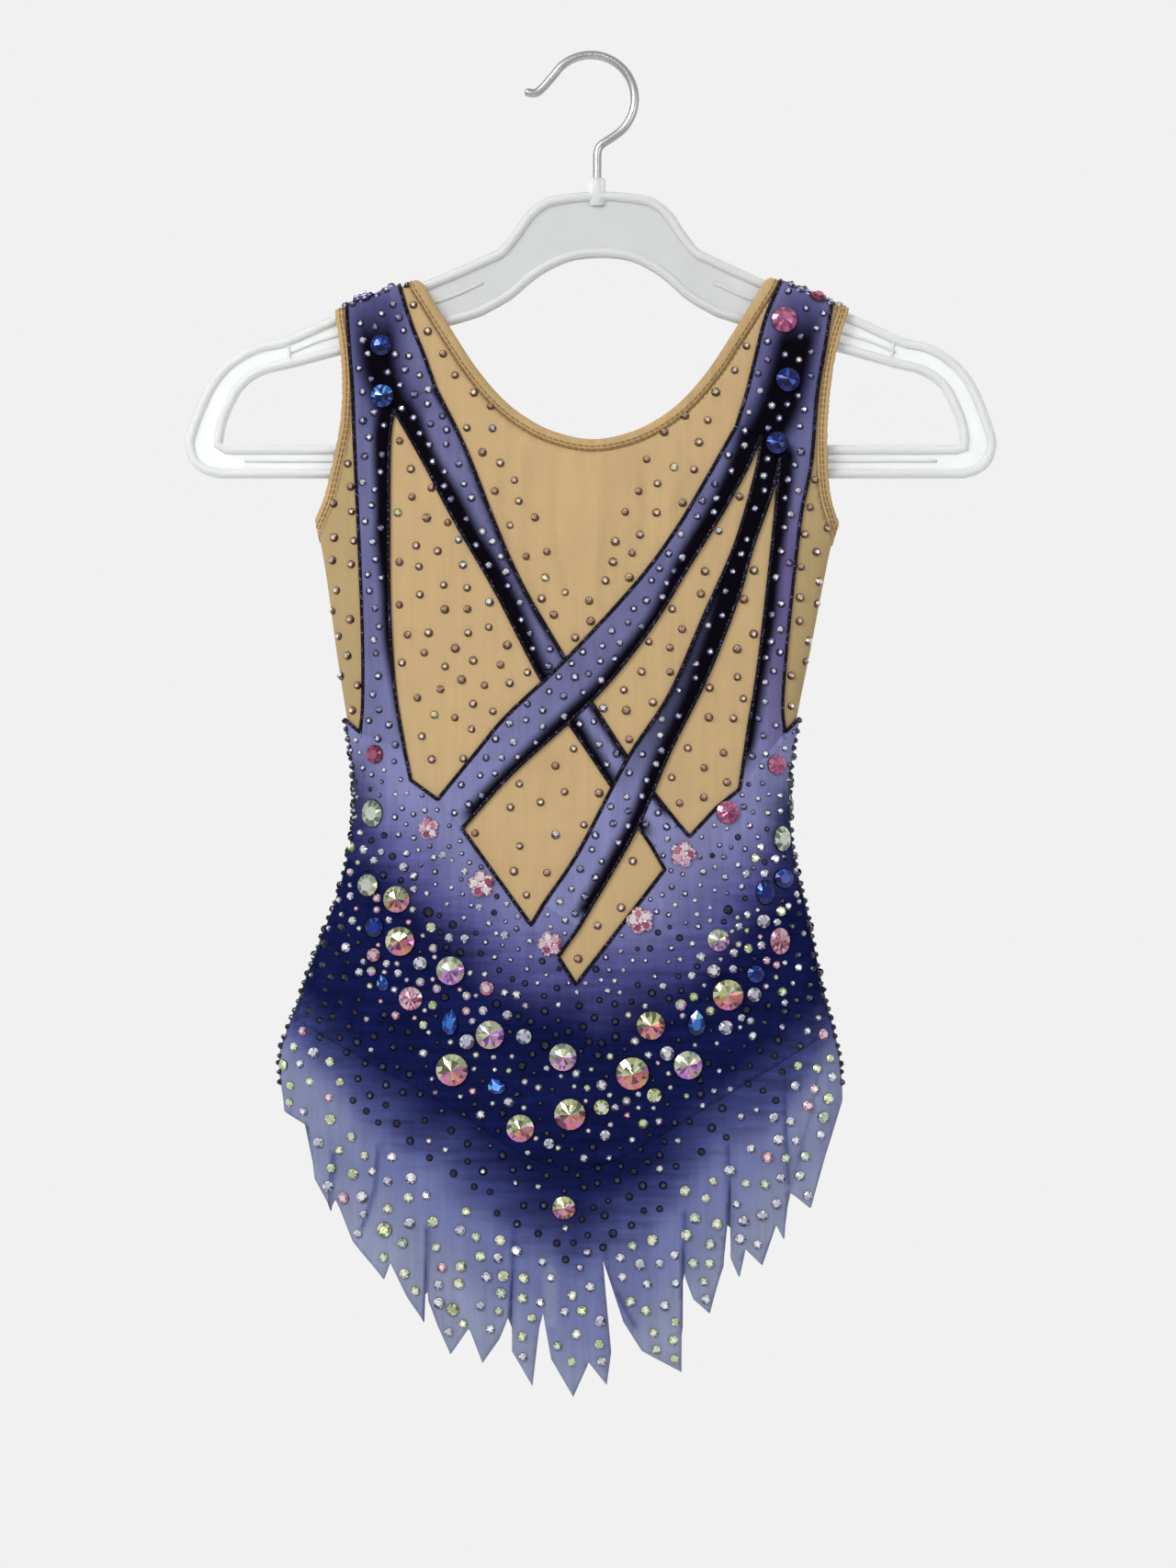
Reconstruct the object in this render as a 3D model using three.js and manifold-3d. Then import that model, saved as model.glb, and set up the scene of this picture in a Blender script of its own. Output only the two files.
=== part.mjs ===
// A sleeveless figure skating dress on a clothes hanger.
//
// Millimetres, +Z up, +X to the right as seen from the front, the front faces -Y.
// The origin is the inside top of the hanger's hook, where a peg or a rail carries it.
//
// The dress hangs nearly flat. Every cloth piece is cut out of one curved wall that
// goes over the hanger's arms at the shoulders, with a front half and a back half that
// meet at the side seams and the shoulder seams. A level says how far a face of a wall
// lies outside the wearer's side of the cloth: the yoke is the base, and the dyed
// bands, the body and the skirt lie on top of it.

import * as THREE from 'three'
import { mergeVertices } from 'three/addons/utils/BufferGeometryUtils.js'
import Module from 'manifold-3d'

const wasm = await Module()
wasm.setup()

// Driving dimensions
const HANGER_THICK = 8
const HANGER_EDGE_ROUND = 2
const HANGER_LEAN = 4.5 // how far the hump of the hanger stands right of its middle
const HANGER_HALF_SPAN = 175.8
const WEB_RECESS = 2.2 // depth of the hollow between the raised rims, on each side
const RIM_WIDTH = 4.2
const WIRE_RADIUS = 2
const HOOK_RADIUS = 19.1 // to the middle of the wire
const STEM_X = 2.8
const COLLAR_RADIUS = 3.9
const COLLAR_TOP = -51.7
const STEM_END = -64.4
const BORE_CLEARANCE = 0.3

const SEAM_GAP = 0.3 // between neighbouring cloth pieces
const WALL = 1.2
const SEAT_GAP = 0.5 // between the hanger's arms and the cloth on them
const SHOULDER_ROUND = 4 // height over which the cloth turns over an arm
const NECK_BINDING = 5.5
const ARMHOLE_BINDING = 5
const BINDING_PROUD = 0.6
const HEM_Z = -588
const SKIRT_TOP = -405
const WAVE_START = -455
const WAVE_DEPTH = 3
const CROTCH_Z = -514
const CROTCH_ROUND = 22
const STONE_PEG = 0.9 // how deep a stone's foot goes into the cloth
const STONE_LIFT = 0.35

// Levels of the layers: inner and outer face, measured from the yoke's outer face
const YOKE_LAYER = { inner: -WALL, outer: 0 }
const BINDING_LAYER = { inner: -WALL, outer: BINDING_PROUD }
const TOP_LAYER = { inner: SEAM_GAP, outer: SEAM_GAP + WALL }
const BRIEF_LAYER = { inner: -SEAM_GAP - WALL, outer: -SEAM_GAP }

// The garment's section at each height: its side edges, half its depth, and the power
// that makes the section blunt (0.5) or lens-shaped (1)
const SECTIONS = [
  { z: -60, left: -128, right: 127, depth: 9, power: 0.5 },
  { z: -125, left: -128, right: 127, depth: 9.4, power: 0.5 },
  { z: -165, left: -125, right: 124, depth: 10.2, power: 0.5 },
  { z: -190, left: -121, right: 114, depth: 10.8, power: 0.52 },
  { z: -205, left: -118, right: 106, depth: 11, power: 0.55 },
  { z: -225, left: -114.5, right: 101.2, depth: 11.4, power: 0.6 },
  { z: -256, left: -110.3, right: 95.3, depth: 11.8, power: 0.64 },
  { z: -284, left: -106, right: 89.8, depth: 11.8, power: 0.68 },
  { z: -307, left: -102.2, right: 85.8, depth: 12, power: 0.7 },
  { z: -328, left: -101.8, right: 85.3, depth: 12.6, power: 0.7 },
  { z: -346, left: -104.3, right: 87, depth: 13.4, power: 0.7 },
  { z: -368, left: -110.5, right: 92, depth: 14.4, power: 0.7 },
  { z: -388, left: -118.3, right: 96, depth: 15.2, power: 0.7 },
  { z: -410, left: -126, right: 101, depth: 15.8, power: 0.7 },
  { z: -432, left: -133.6, right: 106.5, depth: 16.2, power: 0.7 },
  { z: -455, left: -132, right: 108.2, depth: 16.6, power: 0.72 },
  { z: HEM_Z, left: -130, right: 110, depth: 18, power: 0.74 },
]

// The hanger's outline as half widths, from the top of the hump round to the lower edge
const HANGER_OUTLINE = [
  { half: 19, z: -59.3 }, { half: 26, z: -62 }, { half: 32, z: -67.3 },
  { half: 37.3, z: -75 }, { half: 43, z: -82 }, { half: 48, z: -84.8 },
  { half: 74.2, z: -96.5 }, { half: 111.5, z: -110.8 }, { half: 134, z: -120.8 },
  { half: 145, z: -123.2 }, { half: 153.5, z: -127.5 }, { half: 161, z: -133.5 },
  { half: 167, z: -142 }, { half: 171.5, z: -152 }, { half: 175, z: -162 },
  { half: HANGER_HALF_SPAN, z: -168 }, { half: 173.5, z: -175 },
  { half: 168.5, z: -179.5 }, { half: 161.5, z: -181.7 },
]
const HANGER_HOLE = [
  { half: 9, z: -86.6 }, { half: 16, z: -88.5 }, { half: 24, z: -92.6 },
  { half: 30.5, z: -97.4 }, { half: 37, z: -103.2 }, { half: 46.5, z: -109 },
  { half: 59, z: -114 }, { half: 113.5, z: -129 }, { half: 131, z: -133.8 },
  { half: 140.5, z: -136 }, { half: 147, z: -139.2 }, { half: 152, z: -144 },
  { half: 155.5, z: -150.5 }, { half: 158.5, z: -158 }, { half: 160, z: -167.4 },
]

// The neck's edge as half widths about its own middle line
const NECK_MIDDLE = 1
const FRONT_NECK = [
  { half: 76, z: -92 }, { half: 75, z: -96.5 }, { half: 69, z: -106.5 },
  { half: 60, z: -120.8 }, { half: 51, z: -134.4 }, { half: 41, z: -146.4 },
  { half: 30.5, z: -155.2 }, { half: 17, z: -162.2 }, { half: 0, z: -165.6 },
]
const BACK_NECK_DROP = 11

const LEFT_ARMHOLE = [
  { x: -111.3, z: -100 }, { x: -111, z: -110 }, { x: -108.6, z: -126.5 },
  { x: -107.6, z: -142 }, { x: -108.4, z: -158 }, { x: -110.4, z: -169 },
  { x: -113, z: -180 }, { x: -116, z: -191 }, { x: -121.5, z: -203.5 },
]
const RIGHT_ARMHOLE = [
  { x: 113, z: -98 }, { x: 112, z: -109 }, { x: 108.2, z: -121 },
  { x: 105.4, z: -133 }, { x: 103.6, z: -147 }, { x: 102.6, z: -163 },
  { x: 102.9, z: -178.5 }, { x: 104.3, z: -191 }, { x: 109.5, z: -206 },
]
const BACK_ARMHOLE_SHIFT = 1.5

// The dyed bands of the front, each by the points of its two edges from the top down
const LEFT_SIDE_BAND = {
  outer: [
    { x: -105.5, z: -95 }, { x: -103.6, z: -123.5 }, { x: -102, z: -143.5 },
    { x: -101.3, z: -164.5 }, { x: -100.3, z: -187 }, { x: -98.7, z: -220.5 },
    { x: -97.6, z: -254 }, { x: -97.6, z: -280 }, { x: -98.6, z: -292 },
  ],
  inner: [
    { x: -84.5, z: -91 }, { x: -77.5, z: -114 }, { x: -72, z: -128 },
    { x: -66.5, z: -143.5 }, { x: -84.5, z: -152.5 }, { x: -86.4, z: -169 },
    { x: -86.5, z: -216.5 }, { x: -85.6, z: -247 }, { x: -83.5, z: -275.5 },
    { x: -79.5, z: -300 },
  ],
}
const RIGHT_SIDE_BAND = {
  outer: [
    { x: 105.5, z: -92 }, { x: 101, z: -121.5 }, { x: 97, z: -146 },
    { x: 94.6, z: -175 }, { x: 90, z: -198 }, { x: 86.6, z: -225.5 },
    { x: 83.6, z: -256 }, { x: 82, z: -280 }, { x: 83, z: -292 },
  ],
  inner: [
    { x: 85, z: -90 }, { x: 75.5, z: -111 }, { x: 70, z: -132 },
    { x: 66.5, z: -146 }, { x: 62.2, z: -160 }, { x: 73, z: -163 },
    { x: 81, z: -173.5 }, { x: 79, z: -198 }, { x: 75, z: -234.5 },
    { x: 71, z: -267 }, { x: 67.5, z: -289 }, { x: 63.5, z: -316.5 },
  ],
}
const RIGHT_CROSS_BAND = {
  outer: [
    { x: 73, z: -163 }, { x: 67.5, z: -176.5 }, { x: 56, z: -197.5 },
    { x: 42, z: -220 }, { x: 25.5, z: -247 }, { x: 2, z: -276.5 },
    { x: -33.5, z: -309.5 }, { x: -55, z: -333.5 },
  ],
  inner: [
    { x: 62.2, z: -160 }, { x: 49, z: -183.5 }, { x: 36.5, z: -204.5 },
    { x: 20, z: -227 }, { x: -10.5, z: -260.5 }, { x: -36, z: -285 },
    { x: -48.5, z: -300 }, { x: -65.5, z: -321 },
  ],
}
const CENTRE_BAND = {
  outer: [
    { x: 81, z: -173.5 }, { x: 77, z: -190 }, { x: 69, z: -212.5 },
    { x: 62.5, z: -234.5 }, { x: 49, z: -269 }, { x: 33.5, z: -300.5 },
    { x: 19, z: -334 }, { x: -5.2, z: -376 },
  ],
  inner: [
    { x: 73, z: -163 }, { x: 71, z: -178.5 }, { x: 62, z: -210 },
    { x: 49, z: -240 }, { x: 33.5, z: -275.5 }, { x: 15.5, z: -303.5 },
    { x: -5, z: -343 }, { x: -20.3, z: -366 },
  ],
}
const LEFT_CROSS_BAND = {
  outer: [
    { x: -84.5, z: -152.5 }, { x: -72, z: -174.5 }, { x: -58, z: -201 },
    { x: -40.5, z: -231.5 }, { x: -20.5, z: -270.5 }, { x: 0, z: -302 },
    { x: 19.5, z: -331.5 }, { x: 25.5, z: -340.5 },
  ],
  inner: [
    { x: -66.5, z: -143.5 }, { x: -54, z: -169 }, { x: -41.5, z: -201 },
    { x: -31.5, z: -224.5 }, { x: -11, z: -260.5 }, { x: 15.5, z: -303 },
    { x: 36.5, z: -330.5 },
  ],
}

// The upper edge of the dyed body, with the ends of the bands and the windows' corners
const BODY_TOP = [
  { x: -140, z: -257 }, { x: -98.6, z: -292 }, { x: -79.5, z: -300 },
  { x: -77, z: -312.5 }, { x: -65.5, z: -321 }, { x: -55, z: -333.5 },
  { x: -25.5, z: -375 }, { x: -20.3, z: -366 }, { x: -5.2, z: -376 },
  { x: -14, z: -388.5 }, { x: -6.5, z: -400.5 }, { x: 31.5, z: -351 },
  { x: 25.5, z: -340.5 }, { x: 36.5, z: -330.5 }, { x: 42, z: -337 },
  { x: 53.5, z: -324.5 }, { x: 63.5, z: -316.5 }, { x: 83, z: -292 },
  { x: 130, z: -247 },
]
const BACK_BODY_TOP = [
  { x: -140, z: -257 }, { x: -98.6, z: -292 }, { x: -60, z: -318 },
  { x: -8, z: -334 }, { x: 45, z: -318 }, { x: 83, z: -292 }, { x: 130, z: -247 },
]
const YOKE_LAP = 12 // how far the yoke goes on under the body
const YOKE_BOTTOM = [
  { x: -140, z: -270 }, { x: -98, z: -306 }, { x: -62, z: -345 }, { x: -6.5, z: -416 },
  { x: 38, z: -362 }, { x: 72, z: -324 }, { x: 130, z: -258 },
]
const SKIRT_SEAM = [
  { x: -150, z: -403 }, { x: -130, z: -414 }, { x: -95, z: -434 }, { x: -59, z: -454 },
  { x: -30, z: -473 }, { x: -9, z: -480 }, { x: 15, z: -474 }, { x: 50, z: -453 },
  { x: 80, z: -435 }, { x: 106, z: -419 }, { x: 125, z: -407 },
]

// The pointed hem of the front skirt, from left to right
const FRONT_HEM = [
  { x: -150, z: -446 }, { x: -134.5, z: -446 }, { x: -131.5, z: -456 },
  { x: -121, z: -462 }, { x: -118.5, z: -484.5 }, { x: -111, z: -498 },
  { x: -109, z: -493 }, { x: -101.5, z: -511 }, { x: -89, z: -527 },
  { x: -86, z: -519.5 }, { x: -78, z: -534 }, { x: -70.5, z: -545 },
  { x: -70, z: -518.5 }, { x: -69, z: -536.5 }, { x: -65.5, z: -547 },
  { x: -60.5, z: -559 }, { x: -52, z: -547.5 }, { x: -46, z: -562.5 },
  { x: -39, z: -552.5 }, { x: -34.5, z: -541.5 }, { x: -33, z: -522.5 },
  { x: -33.6, z: -557.5 }, { x: -25, z: -572.5 }, { x: -22, z: -547 },
  { x: -20.5, z: -541.5 }, { x: -17, z: -561 }, { x: -7.5, z: -577 },
  { x: -1, z: -562 }, { x: 6.5, z: -571.5 }, { x: 8.5, z: -557.5 },
  { x: 5, z: -518.5 }, { x: 14, z: -545 }, { x: 22, z: -557.5 },
  { x: 38.5, z: -566.5 }, { x: 38.7, z: -512 }, { x: 40, z: -526 },
  { x: 43.5, z: -535.5 }, { x: 50.5, z: -541.5 }, { x: 57, z: -521.5 },
  { x: 59, z: -483.5 }, { x: 60.2, z: -518 }, { x: 63.5, z: -526 },
  { x: 66, z: -514 }, { x: 73, z: -521 }, { x: 79, z: -503.5 },
  { x: 82.5, z: -510 }, { x: 84.5, z: -488.5 }, { x: 94, z: -497 },
  { x: 100.5, z: -474 }, { x: 108, z: -451.5 }, { x: 110.5, z: -441 }, { x: 125, z: -441 },
]
// The back skirt has the same kind of hem, cut a little shorter and less deep
const BACK_HEM = [
  { x: -150, z: -446 }, { x: -134, z: -446 }, { x: -130, z: -458 },
  { x: -124, z: -462 }, { x: -121, z: -478 }, { x: -117.5, z: -490 },
  { x: -110, z: -482 }, { x: -103, z: -506 }, { x: -95, z: -498 },
  { x: -88, z: -522 }, { x: -79, z: -510 }, { x: -72, z: -538 },
  { x: -62, z: -522 }, { x: -53, z: -554 }, { x: -42, z: -534 },
  { x: -31, z: -562 }, { x: -20, z: -540 }, { x: -7, z: -570 },
  { x: 3, z: -544 }, { x: 14, z: -562 }, { x: 24, z: -536 },
  { x: 34, z: -556 }, { x: 42, z: -524 }, { x: 52, z: -534 },
  { x: 58, z: -506 }, { x: 67, z: -514 }, { x: 74, z: -492 },
  { x: 84.5, z: -509 }, { x: 88, z: -480 }, { x: 97, z: -482 },
  { x: 104, z: -456 }, { x: 110.5, z: -446 }, { x: 125, z: -446 },
]

// The brief's leg openings and crotch, left to right
const BRIEF_TOP = [
  { x: -150, z: -400 }, { x: -100, z: -416 }, { x: -9, z: -438 }, { x: 80, z: -416 },
  { x: 125, z: -402 },
]
const BRIEF_LEG = [
  { x: 125, z: -430 }, { x: 106, z: -434 }, { x: 76, z: -447 }, { x: 44, z: -468 },
  { x: 20, z: -494 }, { x: 12, z: -520 }, { x: -34, z: -520 }, { x: -42, z: -494 },
  { x: -66, z: -468 }, { x: -98, z: -447 }, { x: -130, z: -434 }, { x: -150, z: -430 },
]

// Large sewn stones by the piece that carries them, with each stone's width and height
const LARGE_STONES = [
  { on: 'band_left_side', x: -89.5, z: -125, wide: 9.5, tall: 9.5 },
  { on: 'band_left_side', x: -89, z: -147, wide: 10.3, tall: 10.3 },
  { on: 'band_left_side', x: -95.5, z: -108, wide: 10, tall: 8 },
  { on: 'band_right_side', x: 82.5, z: -114, wide: 11.4, tall: 11.4 },
  { on: 'band_right_side', x: 97, z: -108.5, wide: 7, tall: 7 },
  { on: 'band_right_side', x: 84, z: -140, wide: 10.7, tall: 10.7 },
  { on: 'band_right_side', x: 79.4, z: -167.2, wide: 9.9, tall: 9.9 },
  { on: 'front_body', x: -92, z: -301.5, wide: 7.7, tall: 8.5 },
  { on: 'front_body', x: 79, z: -306, wide: 8.7, tall: 8.7 },
  { on: 'front_body', x: 58, z: -326.5, wide: 10.3, tall: 10.3 },
  { on: 'front_body', x: -93, z: -327, wide: 9.9, tall: 12.7 },
  { on: 'front_body', x: 81, z: -338, wide: 8.7, tall: 11.9 },
  { on: 'front_body', x: -94.6, z: -358, wide: 9.9, tall: 10.4 },
  { on: 'front_body', x: -69, z: -333.5, wide: 9.1, tall: 9.9 },
  { on: 'front_body', x: -46.5, z: -357.5, wide: 11.5, tall: 11.5 },
  { on: 'front_body', x: 39, z: -344.5, wide: 11.5, tall: 11.5 },
  { on: 'front_body', x: 20.8, z: -373, wide: 11.9, tall: 11.9 },
  { on: 'front_body', x: -17.5, z: -383, wide: 11, tall: 11 },
  { on: 'front_body', x: -82.5, z: -364, wide: 11.9, tall: 11.9 },
  { on: 'front_body', x: -81, z: -382, wide: 13.1, tall: 13.1 },
  { on: 'front_body', x: -59.5, z: -394.5, wide: 12.7, tall: 12.7 },
  { on: 'front_body', x: -76.5, z: -406.5, wide: 10.5, tall: 10.5 },
  { on: 'front_body', x: -43, z: -422, wide: 12.7, tall: 12.7 },
  { on: 'front_body', x: -12, z: -431.5, wide: 12.3, tall: 12.3 },
  { on: 'front_body', x: -59, z: -437, wide: 14.3, tall: 14.3 },
  { on: 'front_body', x: -9, z: -456, wide: 13.9, tall: 13.9 },
  { on: 'front_body', x: -30, z: -462, wide: 12.3, tall: 12.3 },
  { on: 'front_body', x: 54, z: -381.5, wide: 9.9, tall: 9.9 },
  { on: 'front_body', x: 80, z: -382, wide: 9.1, tall: 11.9 },
  { on: 'front_body', x: 58, z: -405, wide: 13.7, tall: 13.7 },
  { on: 'front_body', x: 25.5, z: -418, wide: 12.7, tall: 12.7 },
  { on: 'front_body', x: 17.5, z: -438.5, wide: 14.6, tall: 14.6 },
  { on: 'front_body', x: 41, z: -435, wide: 12.7, tall: 12.7 },
  { on: 'front_body', x: 74.5, z: -360.5, wide: 9.1, tall: 11.9 },
  { on: 'front_body', x: 44.5, z: -418, wide: 8.3, tall: 9.9 },
  { on: 'front_body', x: -60, z: -417.5, wide: 7.1, tall: 10.3 },
  { on: 'front_skirt', x: -11.5, z: -496, wide: 10.3, tall: 10.3 },
]
const STONE_SIDES = 7
const STONE_HEIGHT = 0.26 // height of a stone, as a share of its width

// Grid of the curved wall
const UPPER_COLUMNS = 14
const UPPER_ROWS = 16
const SHOULDER_ROWS = 3
const SKIRT_COLUMNS = 22
const SKIRT_ROWS = 8
const ROW_STEP = (SKIRT_TOP - HEM_Z) / SKIRT_ROWS

const COLOURS = {
  hook: { color: 0xa9adb0, roughness: 0.28, metalness: 0.9 },
  hanger: { color: 0xdfe3e4, roughness: 0.35, metalness: 0 },
  mesh: { color: 0xd0aa72, roughness: 0.75, metalness: 0 },
  binding: { color: 0xc19556, roughness: 0.7, metalness: 0 },
  band: { color: 0x6f69a8, roughness: 0.6, metalness: 0 },
  body: { color: 0x2a2a66, roughness: 0.6, metalness: 0 },
  skirt: { color: 0x8f93c6, roughness: 0.65, metalness: 0 },
  brief: { color: 0x23235a, roughness: 0.7, metalness: 0 },
}

// A column of a table at height z, on a smooth curve through its rows
function valueAt(table, column, z) {
  const last = table.length - 1
  let row = 0
  while (row < last - 1 && z < table[row + 1].z) row += 1
  const before = table[Math.max(row - 1, 0)]
  const from = table[row]
  const to = table[row + 1]
  const after = table[Math.min(row + 2, last)]
  const t = THREE.MathUtils.clamp((z - from.z) / (to.z - from.z), 0, 1)
  const step = to.z - from.z
  const slopeFrom = (to[column] - before[column]) / (to.z - before.z)
  const slopeTo = (after[column] - from[column]) / (after.z - from.z)
  const t2 = t * t
  const t3 = t2 * t
  return (2 * t3 - 3 * t2 + 1) * from[column] + (t3 - 2 * t2 + t) * step * slopeFrom
    + (3 * t2 - 2 * t3) * to[column] + (t3 - t2) * step * slopeTo
}

// The height of the hanger's straight arm at x, carried on to the middle
function armTop(x) {
  const inner = HANGER_OUTLINE[6]
  const outer = HANGER_OUTLINE[7]
  const half = Math.abs(x - HANGER_LEAN * (1 - Math.abs(x) / HANGER_HALF_SPAN))
  return inner.z + (half - inner.half) * (outer.z - inner.z) / (outer.half - inner.half)
}

// How far the skirt swings out at an angle round the section
function waveAt(angle, z, side) {
  const grown = THREE.MathUtils.smoothstep(WAVE_START - z, 0, WAVE_START - HEM_Z)
  const phase = side < 0 ? 0.4 : 2.1
  const wave = 0.5 + 0.32 * Math.sin(9 * angle + phase) + 0.18 * Math.sin(5 * angle - phase)
  return WAVE_DEPTH * grown * wave
}

// A point of the curved wall. Side is -1 for the front and 1 for the back, angle goes
// from -90 degrees at the left edge to 90 at the right, and turn is how far the cloth
// has come down from its top edge, as a share of a quarter turn.
function wallPoint(side, angle, z, turn, level) {
  const left = valueAt(SECTIONS, 'left', z)
  const right = valueAt(SECTIONS, 'right', z)
  const depth = valueAt(SECTIONS, 'depth', z)
  const power = valueAt(SECTIONS, 'power', z)
  const x = (left + right) / 2 + ((right - left) / 2 + level) * Math.sin(angle)
  const bulge = Math.pow(Math.max(Math.cos(angle), 0), power)
  const y = (depth + level + waveAt(angle, z, side)) * bulge * Math.sin(turn * Math.PI / 2)
  return new THREE.Vector3(x, side * y, z)
}

// The same for the rows that turn over the hanger's arm
function shoulderPoint(side, angle, turn, level) {
  const point = wallPoint(side, angle, SECTIONS[0].z, turn, level)
  const top = armTop(point.x) + SEAT_GAP + WALL
  point.z = top + level - (SHOULDER_ROUND + level) * (1 - Math.cos(turn * Math.PI / 2))
  return point
}

// A closed geometry between two sheets of points, each a list of rows
function between(outerRows, innerRows) {
  const columns = outerRows[0].length
  const count = outerRows.length * columns
  const points = [...outerRows.flat(), ...innerRows.flat()]
  const faces = []
  const quad = (a, b, c, d) => faces.push(a, b, c, a, c, d)
  for (let r = 0; r < outerRows.length - 1; r += 1) {
    for (let c = 0; c < columns - 1; c += 1) {
      const i = r * columns + c
      quad(i, i + 1, i + columns + 1, i + columns)
      quad(count + i + columns, count + i + columns + 1, count + i + 1, count + i)
    }
  }
  const rim = []
  for (let c = 0; c < columns; c += 1) rim.push(c)
  for (let r = 1; r < outerRows.length; r += 1) rim.push(r * columns + columns - 1)
  for (let c = columns - 2; c >= 0; c -= 1) rim.push((outerRows.length - 1) * columns + c)
  for (let r = outerRows.length - 2; r > 0; r -= 1) rim.push(r * columns)
  rim.forEach((from, k) => {
    const to = rim[(k + 1) % rim.length]
    quad(to, from, count + from, count + to)
  })
  const geometry = new THREE.BufferGeometry()
  geometry.setAttribute('position',
    new THREE.Float32BufferAttribute(points.flatMap((p) => [p.x, p.y, p.z]), 3))
  geometry.setIndex(faces)
  return geometry
}

// A closed geometry turned so that its faces point out
function facingOut(geometry) {
  const index = geometry.index.array
  const position = geometry.getAttribute('position')
  const a = new THREE.Vector3()
  const b = new THREE.Vector3()
  const c = new THREE.Vector3()
  let volume = 0
  for (let i = 0; i < index.length; i += 3) {
    a.fromBufferAttribute(position, index[i])
    b.fromBufferAttribute(position, index[i + 1])
    c.fromBufferAttribute(position, index[i + 2])
    volume += a.dot(b.cross(c))
  }
  if (volume > 0) return geometry
  for (let i = 0; i < index.length; i += 3) {
    const swapped = index[i]
    index[i] = index[i + 1]
    index[i + 1] = swapped
  }
  return geometry
}

function solidOf(geometry) {
  const bare = geometry.clone()
  bare.deleteAttribute('normal')
  bare.deleteAttribute('uv')
  const merged = facingOut(mergeVertices(bare, 1e-4))
  return new wasm.Manifold(new wasm.Mesh({
    numProp: 3,
    vertProperties: new Float32Array(merged.getAttribute('position').array),
    triVerts: new Uint32Array(merged.index.array),
  }))
}

function geometryOf(solid) {
  const mesh = solid.getMesh()
  const geometry = new THREE.BufferGeometry()
  geometry.setAttribute('position', new THREE.Float32BufferAttribute(mesh.vertProperties, 3))
  geometry.setIndex(new THREE.Uint32BufferAttribute(mesh.triVerts, 1))
  geometry.computeVertexNormals()
  return geometry
}

// The wall from the shoulders to below the skirt seam, between two levels
function upperWall(side, layer) {
  const sheet = (level) => {
    const rows = []
    for (let r = 0; r <= SHOULDER_ROWS; r += 1) {
      rows.push(rowOf(UPPER_COLUMNS, (angle) => shoulderPoint(side, angle, r / SHOULDER_ROWS, level)))
    }
    const bottom = SKIRT_SEAM[5].z - 6
    for (let r = 1; r <= UPPER_ROWS; r += 1) {
      rows.push(rowOf(UPPER_COLUMNS, (angle) => {
        const start = shoulderPoint(side, angle, 1, 0).z
        return wallPoint(side, angle, THREE.MathUtils.lerp(start, bottom, r / UPPER_ROWS), 1, level)
      }))
    }
    return rows
  }
  return solidOf(between(sheet(layer.outer), sheet(layer.inner)))
}

function rowOf(columns, pointAt) {
  const row = []
  for (let c = 0; c <= columns; c += 1) row.push(pointAt((c / columns - 0.5) * Math.PI))
  return row
}

function skirtWall(side, layer) {
  const sheet = (level) => {
    const rows = []
    for (let r = 0; r <= SKIRT_ROWS; r += 1) {
      const z = THREE.MathUtils.lerp(SKIRT_TOP, HEM_Z, r / SKIRT_ROWS)
      rows.push(rowOf(SKIRT_COLUMNS, (angle) => wallPoint(side, angle, z, 1, level)))
    }
    return rows
  }
  return solidOf(between(sheet(layer.outer), sheet(layer.inner)))
}

// The brief comes together under the crotch, as the shoulders do over the hanger
function briefWall(side, layer) {
  const straight = 3
  const rounded = 4
  const roundStart = CROTCH_Z + CROTCH_ROUND
  const sheet = (level) => {
    const rows = []
    for (let r = 0; r <= straight; r += 1) {
      const z = SKIRT_TOP - r * ROW_STEP
      rows.push(rowOf(UPPER_COLUMNS, (angle) => wallPoint(side, angle, z, 1, level)))
    }
    for (let r = 0; r <= rounded; r += 1) {
      const turn = 1 - r / rounded
      const down = (CROTCH_ROUND + level) * Math.cos(turn * Math.PI / 2)
      rows.push(rowOf(UPPER_COLUMNS, (angle) => {
        const point = wallPoint(side, angle, roundStart, turn, level)
        point.z = roundStart - down
        return point
      }))
    }
    return rows
  }
  return solidOf(between(sheet(layer.outer), sheet(layer.inner)))
}

const toVectors = (table) => table.map((row) => new THREE.Vector2(row.x, row.z))

// An outline moved outwards by a distance
function grown(outline, distance) {
  const turned = THREE.ShapeUtils.isClockWise(outline) ? [...outline].reverse() : outline
  return turned.map((point, i) => {
    const before = turned[(i + turned.length - 1) % turned.length]
    const after = turned[(i + 1) % turned.length]
    const into = point.clone().sub(before).normalize()
    const out = after.clone().sub(point).normalize()
    const normal = new THREE.Vector2(into.y + out.y, -into.x - out.x).normalize()
    const spread = Math.max(normal.dot(new THREE.Vector2(out.y, -out.x)), 0.35)
    return point.clone().addScaledVector(normal, distance / spread)
  })
}

// A block through one half of the dress, with an outline drawn on the front's plane
function block(side, outline, reach = 60) {
  const geometry = new THREE.ExtrudeGeometry(new THREE.Shape(outline), { depth: reach, bevelEnabled: false })
  geometry.rotateX(Math.PI / 2)
  const start = SEAM_GAP / 2
  geometry.translate(0, side < 0 ? -start : start + reach, 0)
  return solidOf(geometry)
}

// A smooth line through a table's points
function smooth(table, steps) {
  return new THREE.SplineCurve(toVectors(table)).getPoints(steps)
}

const bandOutline = (band) => [...toVectors(band.outer), ...toVectors(band.inner).reverse()]

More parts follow.
